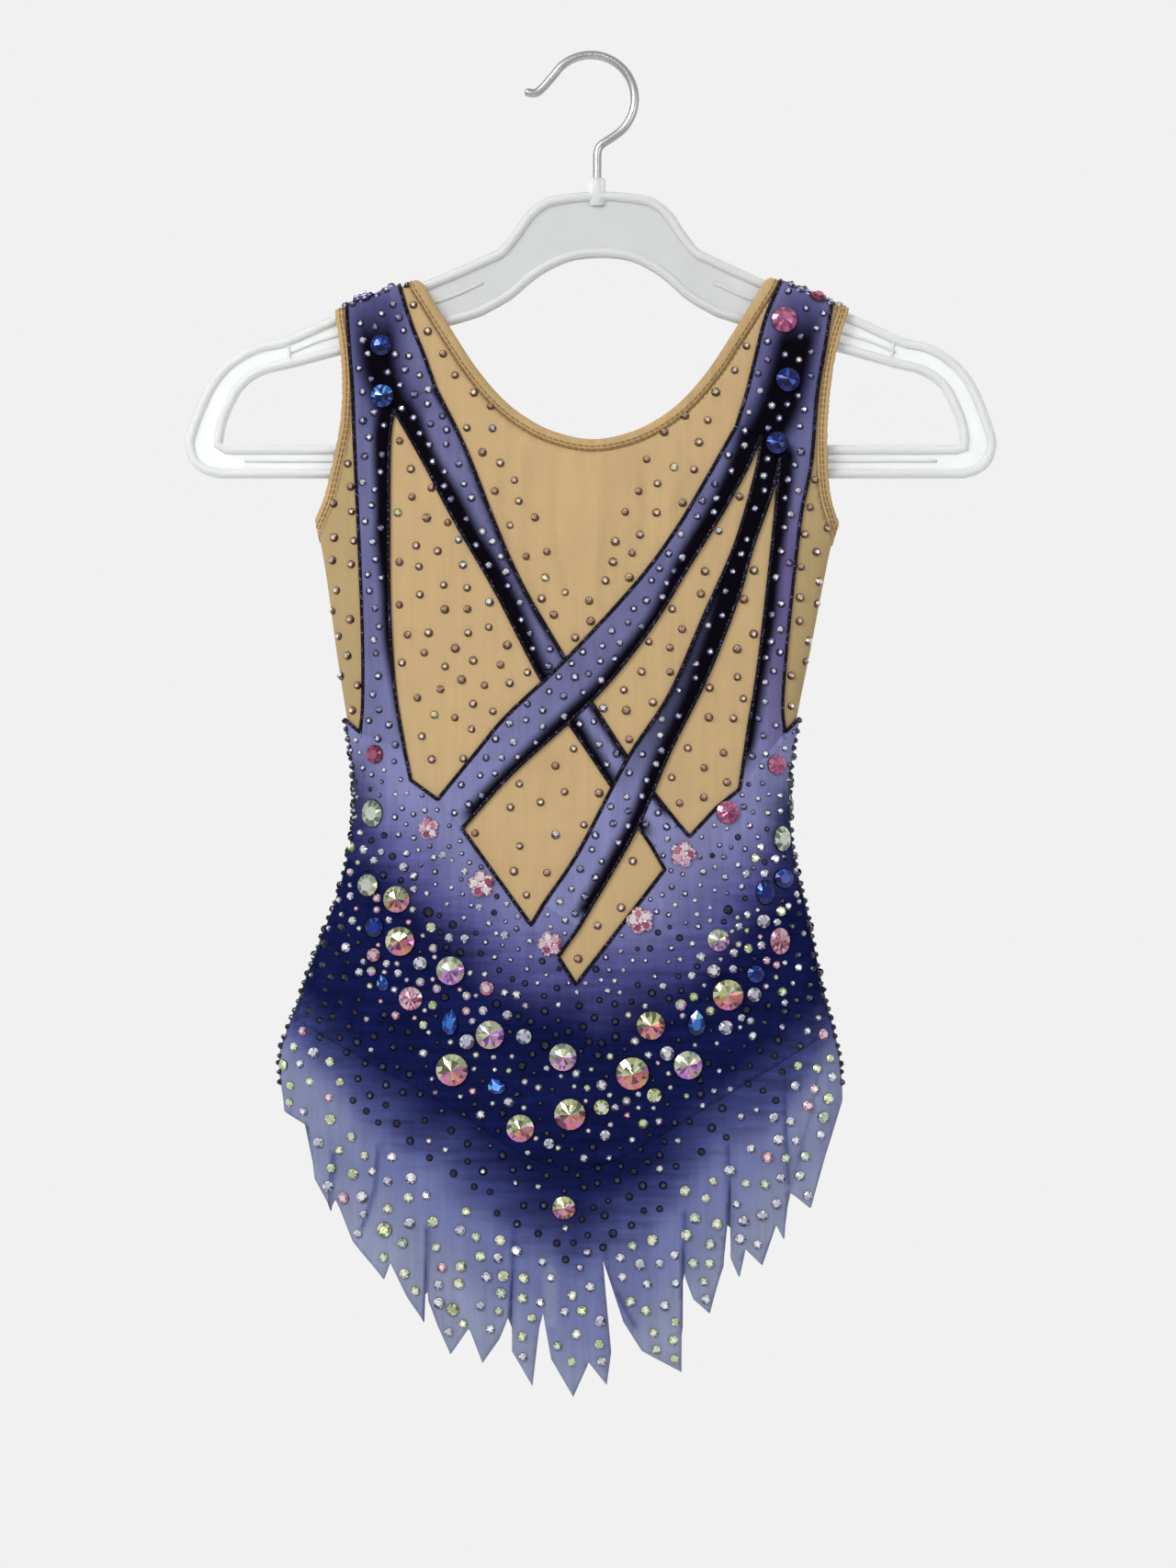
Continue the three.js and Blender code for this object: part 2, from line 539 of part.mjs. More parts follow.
// Outlines of the neck and armholes, closed beyond the cloth
function neckOutline(drop) {
  const right = smooth(FRONT_NECK.map((row) => {
    const share = THREE.MathUtils.clamp((row.z - FRONT_NECK[1].z) / (FRONT_NECK[8].z - FRONT_NECK[1].z), 0, 1)
    return { x: row.half, z: row.z - drop * share }
  }), 12)
  const left = right.slice(0, -1).map((p) => new THREE.Vector2(NECK_MIDDLE - p.x, p.y))
  const top = [new THREE.Vector2(NECK_MIDDLE - 78, -40), new THREE.Vector2(NECK_MIDDLE + 78, -40)]
  return [...top, ...right.map((p) => new THREE.Vector2(NECK_MIDDLE + p.x, p.y)), ...left.reverse()]
}

function armholeOutline(table, shift) {
  const away = Math.sign(table[0].x)
  const edge = smooth(table, 10).map((p) => new THREE.Vector2(p.x - away * shift, p.y))
  const end = edge[edge.length - 1]
  return [...edge, new THREE.Vector2(away * 160, end.y), new THREE.Vector2(away * 160, edge[0].y + 12),
    new THREE.Vector2(edge[0].x, edge[0].y + 12)]
}

// The region between a line that crosses the dress from left to right and a height
function regionFrom(line, height) {
  const first = line[0]
  const last = line[line.length - 1]
  return [...line, new THREE.Vector2(last.x, height), new THREE.Vector2(first.x, height)]
}

function cut(solid, side, outlines, gap = SEAM_GAP) {
  return outlines.reduce((rest, outline) => rest.subtract(block(side, grown(outline, gap))), solid)
}

// A sewn stone: a low faceted dome on a foot that goes into the cloth
function stoneSolid(stone) {
  const level = TOP_LAYER.outer
  const middle = (valueAt(SECTIONS, 'left', stone.z) + valueAt(SECTIONS, 'right', stone.z)) / 2
  const half = (valueAt(SECTIONS, 'right', stone.z) - valueAt(SECTIONS, 'left', stone.z)) / 2 + level
  const angle = Math.asin(THREE.MathUtils.clamp((stone.x - middle) / half, -0.97, 0.97))
  const nearby = 0.01
  const place = wallPoint(-1, angle, stone.z, 1, level)
  const across = wallPoint(-1, angle + nearby, stone.z, 1, level).sub(place)
  const up = wallPoint(-1, angle, stone.z + 1, 1, level).sub(place)
  const out = across.clone().cross(up).normalize()
  const height = STONE_HEIGHT * Math.min(stone.wide, stone.tall)
  const dome = new THREE.CylinderGeometry(0.22, 0.5, height, STONE_SIDES)
  dome.translate(0, height / 2 + STONE_LIFT, 0)
  const foot = new THREE.CylinderGeometry(0.24, 0.24, STONE_PEG + STONE_LIFT + 0.2, 4)
  foot.translate(0, (STONE_LIFT + 0.2 - STONE_PEG) / 2, 0)
  const turn = new THREE.Matrix4().makeBasis(
    across.normalize(), out, new THREE.Vector3().crossVectors(across, out).normalize())
  const spread = new THREE.Matrix4().makeScale(stone.wide, 1, stone.tall)
  const matrix = new THREE.Matrix4().makeTranslation(place.x, place.y, place.z).multiply(turn).multiply(spread)
  return solidOf(dome.applyMatrix4(matrix)).add(solidOf(foot.applyMatrix4(matrix)))
}

function withStones(name, solid) {
  return LARGE_STONES.filter((stone) => stone.on === name)
    .reduce((all, stone) => all.add(stoneSolid(stone)), solid)
}

// The hook's wire follows a round arc, then a short slant, and the stem down to its end
function hookSolid() {
  const middle = new THREE.Vector3(0, 0, WIRE_RADIUS - HOOK_RADIUS)
  const points = [new THREE.Vector3(-28.6, 0, -14), new THREE.Vector3(-24.6, 0, -14.6),
    new THREE.Vector3(-21.6, 0, -13)]
  for (let degrees = 148; degrees >= -60; degrees -= 16) {
    const angle = THREE.MathUtils.degToRad(degrees)
    points.push(new THREE.Vector3(
      HOOK_RADIUS * Math.cos(angle), 0, middle.z + HOOK_RADIUS * Math.sin(angle)))
  }
  points.push(new THREE.Vector3(4.6, 0, -37), new THREE.Vector3(STEM_X + 0.2, 0, -40))
  points.push(new THREE.Vector3(STEM_X, 0, -45), new THREE.Vector3(STEM_X, 0, STEM_END))
  const section = new THREE.Shape()
  section.absarc(0, 0, WIRE_RADIUS, 0, 2 * Math.PI)
  const path = new THREE.CatmullRomCurve3(points, false, 'centripetal')
  return solidOf(new THREE.ExtrudeGeometry(section, { steps: 32, curveSegments: 5, extrudePath: path }))
}

function hangerShape(table, closing) {
  const side = (sign) => table.map((row) => new THREE.Vector2(
    sign * row.half + HANGER_LEAN * (1 - row.half / HANGER_HALF_SPAN), row.z))
  return [...side(-1).reverse(), ...closing, ...side(1)]
}

function hangerSolid() {
  const shape = new THREE.Shape(hangerShape(HANGER_OUTLINE, [new THREE.Vector2(HANGER_LEAN, -57.5)]))
  const hole = hangerShape(HANGER_HOLE, [new THREE.Vector2(HANGER_LEAN, -86)])
  shape.holes.push(new THREE.Path(hole.reverse()))
  const flat = HANGER_THICK - 2 * HANGER_EDGE_ROUND
  const body = new THREE.ExtrudeGeometry(shape, {
    depth: flat, bevelThickness: HANGER_EDGE_ROUND, bevelSize: HANGER_EDGE_ROUND,
    bevelOffset: -HANGER_EDGE_ROUND, bevelSegments: 2,
  })
  body.rotateX(Math.PI / 2)
  body.translate(0, flat / 2, 0)
  const collar = new THREE.CylinderGeometry(COLLAR_RADIUS, COLLAR_RADIUS, 12, 12)
  collar.rotateX(Math.PI / 2)
  collar.translate(STEM_X, 0, COLLAR_TOP - 6)
  const boreLength = COLLAR_TOP - STEM_END + BORE_CLEARANCE + 2
  const bore = new THREE.CylinderGeometry(WIRE_RADIUS + BORE_CLEARANCE, WIRE_RADIUS + BORE_CLEARANCE, boreLength, 12)
  bore.rotateX(Math.PI / 2)
  bore.translate(STEM_X, 0, STEM_END - BORE_CLEARANCE + boreLength / 2)
  const hollow = webHollows().reduce((solid, one) => solid.subtract(one), solidOf(body))
  return hollow.add(solidOf(collar)).subtract(solidOf(bore))
}

// The hollows between the rims: one along each arm and one in the lower bar
function webHollows() {
  const arm = [
    { half: 50, z: -90.6 }, { half: 74.2, z: -101 }, { half: 111.5, z: -115.4 }, { half: 133, z: -125 },
    { half: 144, z: -127.5 }, { half: 151, z: -131.2 }, { half: 157.5, z: -137 },
    { half: 163, z: -145 }, { half: 167.5, z: -155 }, { half: 170.5, z: -165 }, { half: 168.5, z: -172 },
    { half: 164.5, z: -170 }, { half: 163, z: -158 }, { half: 159.5, z: -148.5 }, { half: 155, z: -141 },
    { half: 149, z: -135.4 }, { half: 141.5, z: -131.8 }, { half: 131, z: -129.4 }, { half: 113.5, z: -124.6 },
    { half: 60, z: -109.8 }, { half: 50, z: -106 },
  ]
  const outlines = [-1, 1].map((sign) => arm.map((row) => new THREE.Vector2(
    sign * row.half + HANGER_LEAN * (1 - row.half / HANGER_HALF_SPAN), row.z)))
  const barTop = -167.4 - RIM_WIDTH
  const barLow = -181.7 + RIM_WIDTH
  outlines.push([new THREE.Vector2(-155, barTop), new THREE.Vector2(155, barTop),
    new THREE.Vector2(155, barLow), new THREE.Vector2(-155, barLow)])
  return outlines.flatMap((outline) => [-1, 1].map((side) => {
    const pocket = new THREE.ExtrudeGeometry(new THREE.Shape(outline), { depth: 10, bevelEnabled: false })
    pocket.rotateX(Math.PI / 2)
    const start = HANGER_THICK / 2 - WEB_RECESS
    pocket.translate(0, side < 0 ? -start : start + 10, 0)
    return solidOf(pocket)
  }))
}

// The cloth pieces of one half, by name
function clothPieces(side) {
  const front = side < 0
  const half = front ? 'front' : 'back'
  const neck = neckOutline(front ? 0 : BACK_NECK_DROP)
  const shift = front ? 0 : BACK_ARMHOLE_SHIFT
  const leftArmhole = armholeOutline(LEFT_ARMHOLE, shift)
  const rightArmhole = armholeOutline(RIGHT_ARMHOLE, shift)
  const seam = regionFrom(smooth(SKIRT_SEAM, 14), HEM_Z - 20)
  const bodyTop = toVectors(front ? BODY_TOP : BACK_BODY_TOP)
  const yokeLine = front ? toVectors(YOKE_BOTTOM) : bodyTop.map((p) => new THREE.Vector2(p.x, p.y - YOKE_LAP))
  const hemLine = toVectors(front ? FRONT_HEM : BACK_HEM)
  const edges = [grown(neck, NECK_BINDING), grown(leftArmhole, ARMHOLE_BINDING), grown(rightArmhole, ARMHOLE_BINDING)]

  const base = upperWall(side, YOKE_LAYER)
  const yoke = cut(base.intersect(block(side, regionFrom(yokeLine, COLLAR_TOP))), side, edges)
  const bindingWall = upperWall(side, BINDING_LAYER)
  const binding = (outline, width) => bindingWall
    .intersect(block(side, grown(outline, width))).subtract(block(side, outline))
  const top = upperWall(side, TOP_LAYER)
  const pieces = {
    [`${half}_yoke`]: yoke,
    [`neck_binding_${half}`]: binding(neck, NECK_BINDING),
    [`armhole_binding_left_${half}`]: binding(leftArmhole, ARMHOLE_BINDING),
    [`armhole_binding_right_${half}`]: binding(rightArmhole, ARMHOLE_BINDING),
  }
  const bands = []
  if (front) {
    const bandPiece = (band, over) => {
      const outline = bandOutline(band)
      bands.push(outline)
      return cut(top.intersect(block(side, outline)), side, [...edges, ...over])
    }
    pieces.band_left_side = bandPiece(LEFT_SIDE_BAND, [])
    pieces.band_right_side = bandPiece(RIGHT_SIDE_BAND, [])
    pieces.band_right_cross = bandPiece(RIGHT_CROSS_BAND, [bands[1]])
    pieces.band_centre = bandPiece(CENTRE_BAND, [bands[1], bands[2]])
    const crossing = bandPiece(LEFT_CROSS_BAND, [bands[0], bands[2], bands[3]]).decompose()
    const fromTop = crossing.sort((a, b) => b.boundingBox().max[2] - a.boundingBox().max[2])
    pieces.band_left_cross_upper = fromTop[0]
    pieces.band_left_cross_middle = fromTop[1]
    pieces.band_left_cross_lower = fromTop[2]
  }
  const bodyRegion = block(side, regionFrom(bodyTop, HEM_Z))
  pieces[`${half}_body`] = cut(top.intersect(bodyRegion), side, [...bands, seam])
  const skirt = skirtWall(side, TOP_LAYER).intersect(block(side, seam))
  pieces[`${half}_skirt`] = skirt.intersect(block(side, regionFrom(hemLine, SKIRT_TOP)))
  const brief = [...toVectors(BRIEF_TOP), ...toVectors(BRIEF_LEG)]
  pieces[`${half}_brief`] = briefWall(side, BRIEF_LAYER).intersect(block(side, brief))
  for (const name of Object.keys(pieces)) pieces[name] = withStones(name, pieces[name])
  return pieces
}

function materialFor(name) {
  const kinds = [['yoke', 'mesh'], ['binding', 'binding'], ['band', 'band'], ['body', 'body'],
    ['skirt', 'skirt'], ['brief', 'brief'], ['hanger', 'hanger'], ['hook', 'hook']]
  const [, kind] = kinds.find(([word]) => name.includes(word))
  return new THREE.MeshStandardMaterial(COLOURS[kind])
}

function namedMesh(name, solid) {
  const mesh = new THREE.Mesh(geometryOf(solid), materialFor(name))
  mesh.name = name
  return mesh
}

function pieceGroup(pieces) {
  const group = new THREE.Group()
  for (const [name, solid] of Object.entries(pieces)) group.add(namedMesh(name, solid))
  return group
}

const hangerGroup = pieceGroup({ hook: hookSolid(), hanger: hangerSolid() })
const frontGroup = pieceGroup(clothPieces(-1))
const backGroup = pieceGroup(clothPieces(1))

const dress = new THREE.Group()
dress.add(frontGroup, backGroup)
const model = new THREE.Group()
model.add(hangerGroup, dress)

export default model
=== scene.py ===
# %% [markdown]
# # A figure skating dress on a clear hanger
#
# The dress is cut from nude stretch mesh, with dyed bands that cross the front, a dyed
# body and a skirt cut into points, and it is covered with glass stones. It hangs almost
# flat on a frosted hanger with a metal hook. This lesson loads the measured solids of the
# dress as a frame, and then makes each piece of cloth, cord, stone and plastic on it.
# Lengths on the dress are in millimetres until a mesh is made. Camera and lamps are in metres.

# %% Load the frame
import math
import random

import bpy
import numpy as np
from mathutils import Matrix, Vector
from mathutils.geometry import delaunay_2d_cdt


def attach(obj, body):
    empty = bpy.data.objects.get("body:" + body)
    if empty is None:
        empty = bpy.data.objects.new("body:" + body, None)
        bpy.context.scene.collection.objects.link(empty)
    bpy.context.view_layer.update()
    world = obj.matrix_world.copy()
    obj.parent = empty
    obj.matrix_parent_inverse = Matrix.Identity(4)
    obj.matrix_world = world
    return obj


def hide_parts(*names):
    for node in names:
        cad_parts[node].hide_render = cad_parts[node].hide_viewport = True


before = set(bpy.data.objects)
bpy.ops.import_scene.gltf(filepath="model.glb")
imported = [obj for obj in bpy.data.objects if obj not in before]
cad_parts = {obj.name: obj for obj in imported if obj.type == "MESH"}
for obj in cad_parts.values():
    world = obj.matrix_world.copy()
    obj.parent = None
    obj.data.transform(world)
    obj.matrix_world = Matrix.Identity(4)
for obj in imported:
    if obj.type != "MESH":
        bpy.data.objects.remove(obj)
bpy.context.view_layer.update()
MM = 0.001
print("Loaded", len(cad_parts), "solids")

# %% [markdown]
# ## The camera
#
# The photograph was taken level and from straight in front, with little perspective. A flat
# camera without perspective would come close, but the rims of the hanger would lose their
# depth, so a long lens at 1.6 metres is used.

# %% Place the camera
CAMERA_SPOT = (-0.0012, -1.612, -0.3143)
CAMERA_LENS = 85.3

camera_data = bpy.data.cameras.new("front_camera")
camera_data.lens = CAMERA_LENS
camera_data.sensor_width = 36
camera_data.dof.use_dof = False
camera = bpy.data.objects.new("front_camera", camera_data)
camera.location = CAMERA_SPOT
camera.rotation_euler = (math.radians(90), 0, 0)
bpy.context.scene.collection.objects.link(camera)
bpy.context.scene.camera = camera
bpy.context.scene.view_settings.view_transform = "Standard"
print("Camera at", CAMERA_SPOT)

# %% [markdown]
# ## The studio
#
# The light is soft and pale. A picture of a room wrapped round the scene could give it, but a
# few lamps and a plain gradient need no image and are easy to change. One wide lamp at the
# upper left gives the cloth its form, a weaker one fills in from the right, one behind shines
# through the plastic, and small ones make the stones sparkle.

# %% Lamps
LAMPS = {  # place and size in metres, power in watts
    "wide_lamp": ((-1.1, -1.35, 0.65), 1.0, 20.0),
    "fill_lamp": ((1.3, -1.5, -0.1), 0.9, 3.5),
    "back_lamp": ((0.1, 2.2, 0.3), 2.6, 22.0),
    "spark_left": ((-0.50, -1.7, 0.30), 0.09, 1.2),
    "spark_right": ((0.62, -1.6, 0.10), 0.08, 0.8),
    "spark_top": ((0.12, -1.5, 0.62), 0.08, 0.8),
    "spark_low": ((-0.35, -1.7, -0.75), 0.08, 0.5),
}
DRESS_MIDDLE = Vector((0, 0, -0.33))


def add_lamp(name, at, size, power):
    data = bpy.data.lights.new(name, "AREA")
    data.shape = "DISK"
    data.size = size
    data.energy = power
    lamp = bpy.data.objects.new(name, data)
    lamp.location = at
    lamp.rotation_euler = (DRESS_MIDDLE - Vector(at)).to_track_quat("-Z", "Y").to_euler()
    bpy.context.scene.collection.objects.link(lamp)


for name, (at, size, power) in LAMPS.items():
    add_lamp(name, at, size, power)
print("Lamps:", len(LAMPS))

# %% [markdown]
# ## The room
#
# Around the dress the world is pale behind and above, and greyer on the camera's side, so
# that glass and metal have something dark to reflect and keep their edges. A backdrop could
# hide another view, but a gradient from front to back can't.

# %% Pale room
BACKDROP = (0.876, 0.878, 0.874, 1)
CAMERA_SIDE = (0.44, 0.45, 0.46, 1)
GREY_UNTIL, PALE_FROM = -0.35, 0.55  # from -1 on the camera's side to 1 behind the dress

room = bpy.data.worlds.new("pale_room")
room.use_nodes = True
tree = room.node_tree
direction = tree.nodes.new("ShaderNodeTexCoord")
parts = tree.nodes.new("ShaderNodeSeparateXYZ")
tone = tree.nodes.new("ShaderNodeValToRGB")
tone.color_ramp.elements[0].color = CAMERA_SIDE
tone.color_ramp.elements[1].color = BACKDROP
shift = tree.nodes.new("ShaderNodeMapRange")
shift.inputs["From Min"].default_value = GREY_UNTIL
shift.inputs["From Max"].default_value = PALE_FROM
tree.links.new(direction.outputs["Generated"], parts.inputs["Vector"])
tree.links.new(parts.outputs["Y"], shift.inputs["Value"])
tree.links.new(shift.outputs["Result"], tone.inputs["Fac"])
tree.links.new(tone.outputs["Color"], tree.nodes["Background"].inputs["Color"])
bpy.context.scene.world = room
print("Tone behind the dress:", BACKDROP[:3])

# %% [markdown]
# ## Nodes for the finishes
#
# Every finish here is a Principled shader whose colour and bump come from procedural
# textures. Such a tree can be wired by hand in the shader editor, but in code the same few
# steps come back in each material, so small helpers keep them short.

# %% Nodes and materials


def add_node(tree, kind, values=None, **settings):
    """A new node with its settings. Each input gets a value, or a link from another node."""
    node = tree.nodes.new(kind)
    for key, value in settings.items():
        setattr(node, key, value)
    for key, value in (values or {}).items():
        if isinstance(value, bpy.types.NodeSocket):
            tree.links.new(value, node.inputs[key])
        else:
            node.inputs[key].default_value = value
    return node


def new_material(name, values):
    """A material with one Principled shader, whose inputs get the given values."""
    material = bpy.data.materials.new(name)
    material.use_nodes = True
    tree = material.node_tree
    shader = tree.nodes["Principled BSDF"]
    for key, value in values.items():
        shader.inputs[key].default_value = value
    return material, tree, shader


print("Helpers for nodes ready")

# %% Textures, tint and bump


def texture_place(tree, stretch=(1, 1, 1)):
    """Object coordinates in millimetres, stretched along each axis."""
    place = add_node(tree, "ShaderNodeTexCoord").outputs["Object"]
    scale = [1000 * s for s in stretch]
    return add_node(tree, "ShaderNodeMapping", {"Vector": place, "Scale": scale}).outputs["Vector"]


def noise(tree, place, scale, detail=3.0, roughness=0.55):
    return add_node(tree, "ShaderNodeTexNoise", {
        "Vector": place, "Scale": scale, "Detail": detail, "Roughness": roughness}).outputs["Fac"]


def spread(tree, value, low, high):
    """A texture's middle range widened to low..high."""
    return add_node(tree, "ShaderNodeMapRange", {
        "Value": value, "From Min": 0.3, "From Max": 0.7, "To Min": low, "To Max": high}).outputs["Result"]


def add_bump(tree, shader, height, strength, distance):
    bump = add_node(tree, "ShaderNodeBump",
                    {"Height": height, "Strength": strength, "Distance": distance})
    tree.links.new(bump.outputs["Normal"], shader.inputs["Normal"])


def tinted(tree, colour_output, amount_output):
    """A colour multiplied by a varying brightness."""
    return add_node(tree, "ShaderNodeVectorMath", {0: colour_output, "Scale": amount_output},
                    operation="SCALE").outputs["Vector"]


print("Helpers for textures ready")

# %% [markdown]
# ## The knitted cloth
#
# Stretch mesh is a fine knit. From a metre away its loops are too small to see, but they
# soften the light, and faint vertical streaks show where the knit is pulled. Modelled loops
# would take millions of faces, so the knit is two crossed waves in the bump, and the streaks
# are noise stretched along the height.

# %% The knit's bump


def knit_height(tree, loop=0.55):
    """The height of a fine knit, with loops a given number of millimetres apart."""
    place = texture_place(tree)
    waves = []
    for direction in ("X", "Z"):
        wave = add_node(tree, "ShaderNodeTexWave", {
            "Vector": place, "Scale": 1 / (loop * 3.2), "Distortion": 0.6}, bands_direction=direction)
        waves.append(wave.outputs["Fac"])
    return add_node(tree, "ShaderNodeMath", {0: waves[0], 1: waves[1]}, operation="ADD").outputs["Value"]


print("The knit has loops about half a millimetre apart")

# %% [markdown]
# ## Airbrushed dye
#
# The dyed pieces fade from one colour into the next, and where the dye is dark the airbrush
# has left uneven lines from side to side. The colour could be drawn on an image and wrapped
# round the piece. Painted on the mesh points as an attribute, it follows every cut. On the
# nude mesh and along the skirt's creases the same attribute also holds painted shade.

# %% Cloth materials
TAPE = (0.535, 0.365, 0.17, 1)
THREAD = (0.30, 0.17, 0.055, 1)
BRIEF_NAVY = (0.012, 0.012, 0.075, 1)
STROKES_FROM, STROKES_FULL = 0.19, 0.06  # how green the dye is where strokes start, and where they are full


def cloth_material(name, colour, streak=0.07, sheen=0.12, gloss=0.25, strokes=0.0):
    """Knitted cloth. The colour is fixed, or None for the painted dye of the piece, with any painted shade in
    it.

    Strokes is how strongly the airbrush shows, as uneven lines from side to side."""
    material, tree, shader = new_material(name, {
        "Roughness": 0.8, "Specular IOR Level": gloss,
        "Sheen Weight": sheen, "Sheen Roughness": 0.45,
    })
    if colour is None:
        # the dye attribute, which on the mesh and the skirt also holds painted shade
        source = add_node(tree, "ShaderNodeAttribute", attribute_name="dye").outputs["Color"]
    else:
        fixed = add_node(tree, "ShaderNodeRGB")
        fixed.outputs[0].default_value = colour
        source = fixed.outputs[0]
    upright = noise(tree, texture_place(tree, (1, 1, 0.07)), 0.35)
    streaks = spread(tree, upright, 1 - streak, 1 + streak)
    cloudy = spread(tree, noise(tree, texture_place(tree), 0.045, 4), 1 - streak, 1 + streak)
    colour = tinted(tree, tinted(tree, source, streaks), cloudy)
    if strokes:
        across = spread(tree, noise(tree, texture_place(tree, (0.10, 1, 1)), 0.30, 4), -strokes, strokes)
        green = add_node(tree, "ShaderNodeSeparateColor", {"Color": source}).outputs["Green"]
        darkness = add_node(tree, "ShaderNodeMapRange", {
            "Value": green, "From Min": STROKES_FROM, "From Max": STROKES_FULL}).outputs["Result"]
        shown = add_node(tree, "ShaderNodeMath", {0: across, 1: darkness, 2: 1.0},
                         operation="MULTIPLY_ADD")
        colour = tinted(tree, colour, shown.outputs["Value"])
    tree.links.new(colour, shader.inputs["Base Color"])
    add_bump(tree, shader, knit_height(tree), 0.35, 0.00012)
    return material


nude_mesh = cloth_material("nude_mesh", None, 0.035)
tape_cloth = cloth_material("tape_cloth", TAPE, 0.08)
dyed_cloth = cloth_material("dyed_cloth", None, 0.10, sheen=0.005, gloss=0.02)
body_cloth = cloth_material("body_cloth", None, 0.10, sheen=0.005, gloss=0.02, strokes=0.32)
dyed_skirt = cloth_material("dyed_skirt", None, 0.08, sheen=0.02, gloss=0.04, strokes=0.32)
brief_cloth = cloth_material("brief_cloth", BRIEF_NAVY, 0.06)
stitch_thread = cloth_material("stitch_thread", THREAD, 0.12)
print("Cloth materials:", [m.name for m in bpy.data.materials])

# %% [markdown]
# ## Cord, metal and plastic
#
# The bands are edged with a black cord that has glitter in it: most of its cells are nearly
# black and a few shine. The hook is satin wire with faint lines along it. Both could be plain
# colours, but a pattern of cells and a stretched noise give them their grain up close.

# %% Cord and wire materials


def cord_material():
    material, tree, shader = new_material("glitter_cord", {
        "Roughness": 0.5, "Metallic": 0.1, "Specular IOR Level": 0.12})
    cells = add_node(tree, "ShaderNodeTexVoronoi", {"Vector": texture_place(tree), "Scale": 1.5})
    split = add_node(tree, "ShaderNodeSeparateColor", {"Color": cells.outputs["Color"]})
    shine = add_node(tree, "ShaderNodeValToRGB", {"Fac": split.outputs["Red"]})
    shine.color_ramp.elements[0].position = 0.84
    shine.color_ramp.elements[0].color = (0.005, 0.004, 0.008, 1)
    shine.color_ramp.elements[1].position = 0.98
    shine.color_ramp.elements[1].color = (0.13, 0.10, 0.20, 1)
    tree.links.new(shine.outputs["Color"], shader.inputs["Base Color"])
    add_bump(tree, shader, cells.outputs["Distance"], 0.9, 0.0003)
    return material


def wire_material():
    material, tree, shader = new_material("satin_wire", {
        "Base Color": (0.52, 0.53, 0.535, 1), "Metallic": 1.0})
    lines = noise(tree, texture_place(tree, (2, 2, 0.15)), 1.0, 3)
    tree.links.new(spread(tree, lines, 0.27, 0.34), shader.inputs["Roughness"])
    add_bump(tree, shader, lines, 0.04, 0.00004)
    return material


glitter_cord = cord_material()
satin_wire = wire_material()
print("Cord and wire ready")

# %% [markdown]
# ## Frosted plastic
#
# The hanger is clear plastic with a matt skin, so some light passes through it and the thin
# web looks greyer than the thick rims. Clear glass with fog inside would come nearest, but
# it is slow and grainy. Pale plastic that lets a part of the light through looks the same
# here, with the web painted greyer as shade and the rims paler as light, and light painted
# in towards the ends.

# %% Plastic materials
# painted light: the plastic grows lighter between these distances, towards its ends
LIGHT_PAINTED_FROM, LIGHT_PAINTED_UNTIL = 55, 125  # millimetres from the middle


def plastic_material(name, low, high, ends, clearness, roughness, bending):
    """Frosted plastic between two tones in the middle, with light painted in towards its ends, brighter there
    by a factor.
    """
    material, tree, shader = new_material(name, {
        "IOR": bending, "Transmission Weight": clearness, "Specular IOR Level": 0.35})
    cloud = noise(tree, texture_place(tree), 0.06, 4)
    tone = add_node(tree, "ShaderNodeValToRGB", {"Fac": cloud})
    tone.color_ramp.elements[0].color = (low, low * 1.01, low, 1)
    tone.color_ramp.elements[1].color = (high, high * 1.01, high, 1)
    axes = add_node(tree, "ShaderNodeSeparateXYZ", {"Vector": texture_place(tree)})
    aside = add_node(tree, "ShaderNodeMath", {0: axes.outputs["X"]}, operation="ABSOLUTE")
    # painted light towards the ends
    painted_light_at_ends = add_node(tree, "ShaderNodeMapRange", {
        "Value": aside.outputs["Value"], "From Min": LIGHT_PAINTED_FROM, "From Max": LIGHT_PAINTED_UNTIL,
        "To Min": 1, "To Max": ends})
    shown = tinted(tree, tone.outputs["Color"], painted_light_at_ends.outputs["Result"])
    tree.links.new(shown, shader.inputs["Base Color"])
    tree.links.new(spread(tree, cloud, roughness - 0.06, roughness + 0.06), shader.inputs["Roughness"])
    add_bump(tree, shader, noise(tree, texture_place(tree), 0.5, 2), 0.05, 0.0001)
    return material


# one plastic: the web's tones are painted darker as shade, and the rims' lighter as light
web_plastic = plastic_material("web_plastic", 0.61, 0.68, 1.40, 0.40, 0.50, 1.3)
rim_plastic = plastic_material("rim_plastic", 0.88, 0.93, 1.05, 0.30, 0.45, 1.16)
print("Plastic for the web and for the rims ready")

# %% [markdown]
# ## Cut glass
#
# The stones are foiled glass: a mirror behind coloured glass, so next to a bright facet there
# is often a dark one. Real glass over a mirror needs many bounces of light for a stone of a
# few pixels. A half metallic shader with a colour painted on each facet looks right from any
# side; those colours hold the painted reflections, light and shade.

# %% Stone materials


def glass_material(name, roughness, metallic):
    material, tree, shader = new_material(name, {
        "Roughness": roughness, "Metallic": metallic, "Coat Weight": 0.5, "Coat Roughness": 0.04})
    # the facet colours hold painted reflections, light and shade
    facet = add_node(tree, "ShaderNodeAttribute", attribute_name="facet")
    flaws = spread(tree, noise(tree, texture_place(tree), 0.9, 2), 0.86, 1.12)
    tree.links.new(tinted(tree, facet.outputs["Color"], flaws), shader.inputs["Base Color"])
    add_bump(tree, shader, noise(tree, texture_place(tree), 1.4, 1), 0.06, 0.0001)
    return material


cut_glass = glass_material("cut_glass", 0.10, 0.62)
bead_glass = glass_material("bead_glass", 0.14, 0.30)
print("Stone materials ready")

# %% [markdown]
# ## The curved shell
#
# The dress hangs nearly flat, so all its cloth follows one closed curve around the body at
# each height: wide, shallow, and rounded at the sides. A cloth simulation could find that
# form, but it would also move the seams. A table gives the curve from the shoulders to the
# hem instead. The solids were made with the same one, so each cloth lies where its solid is.

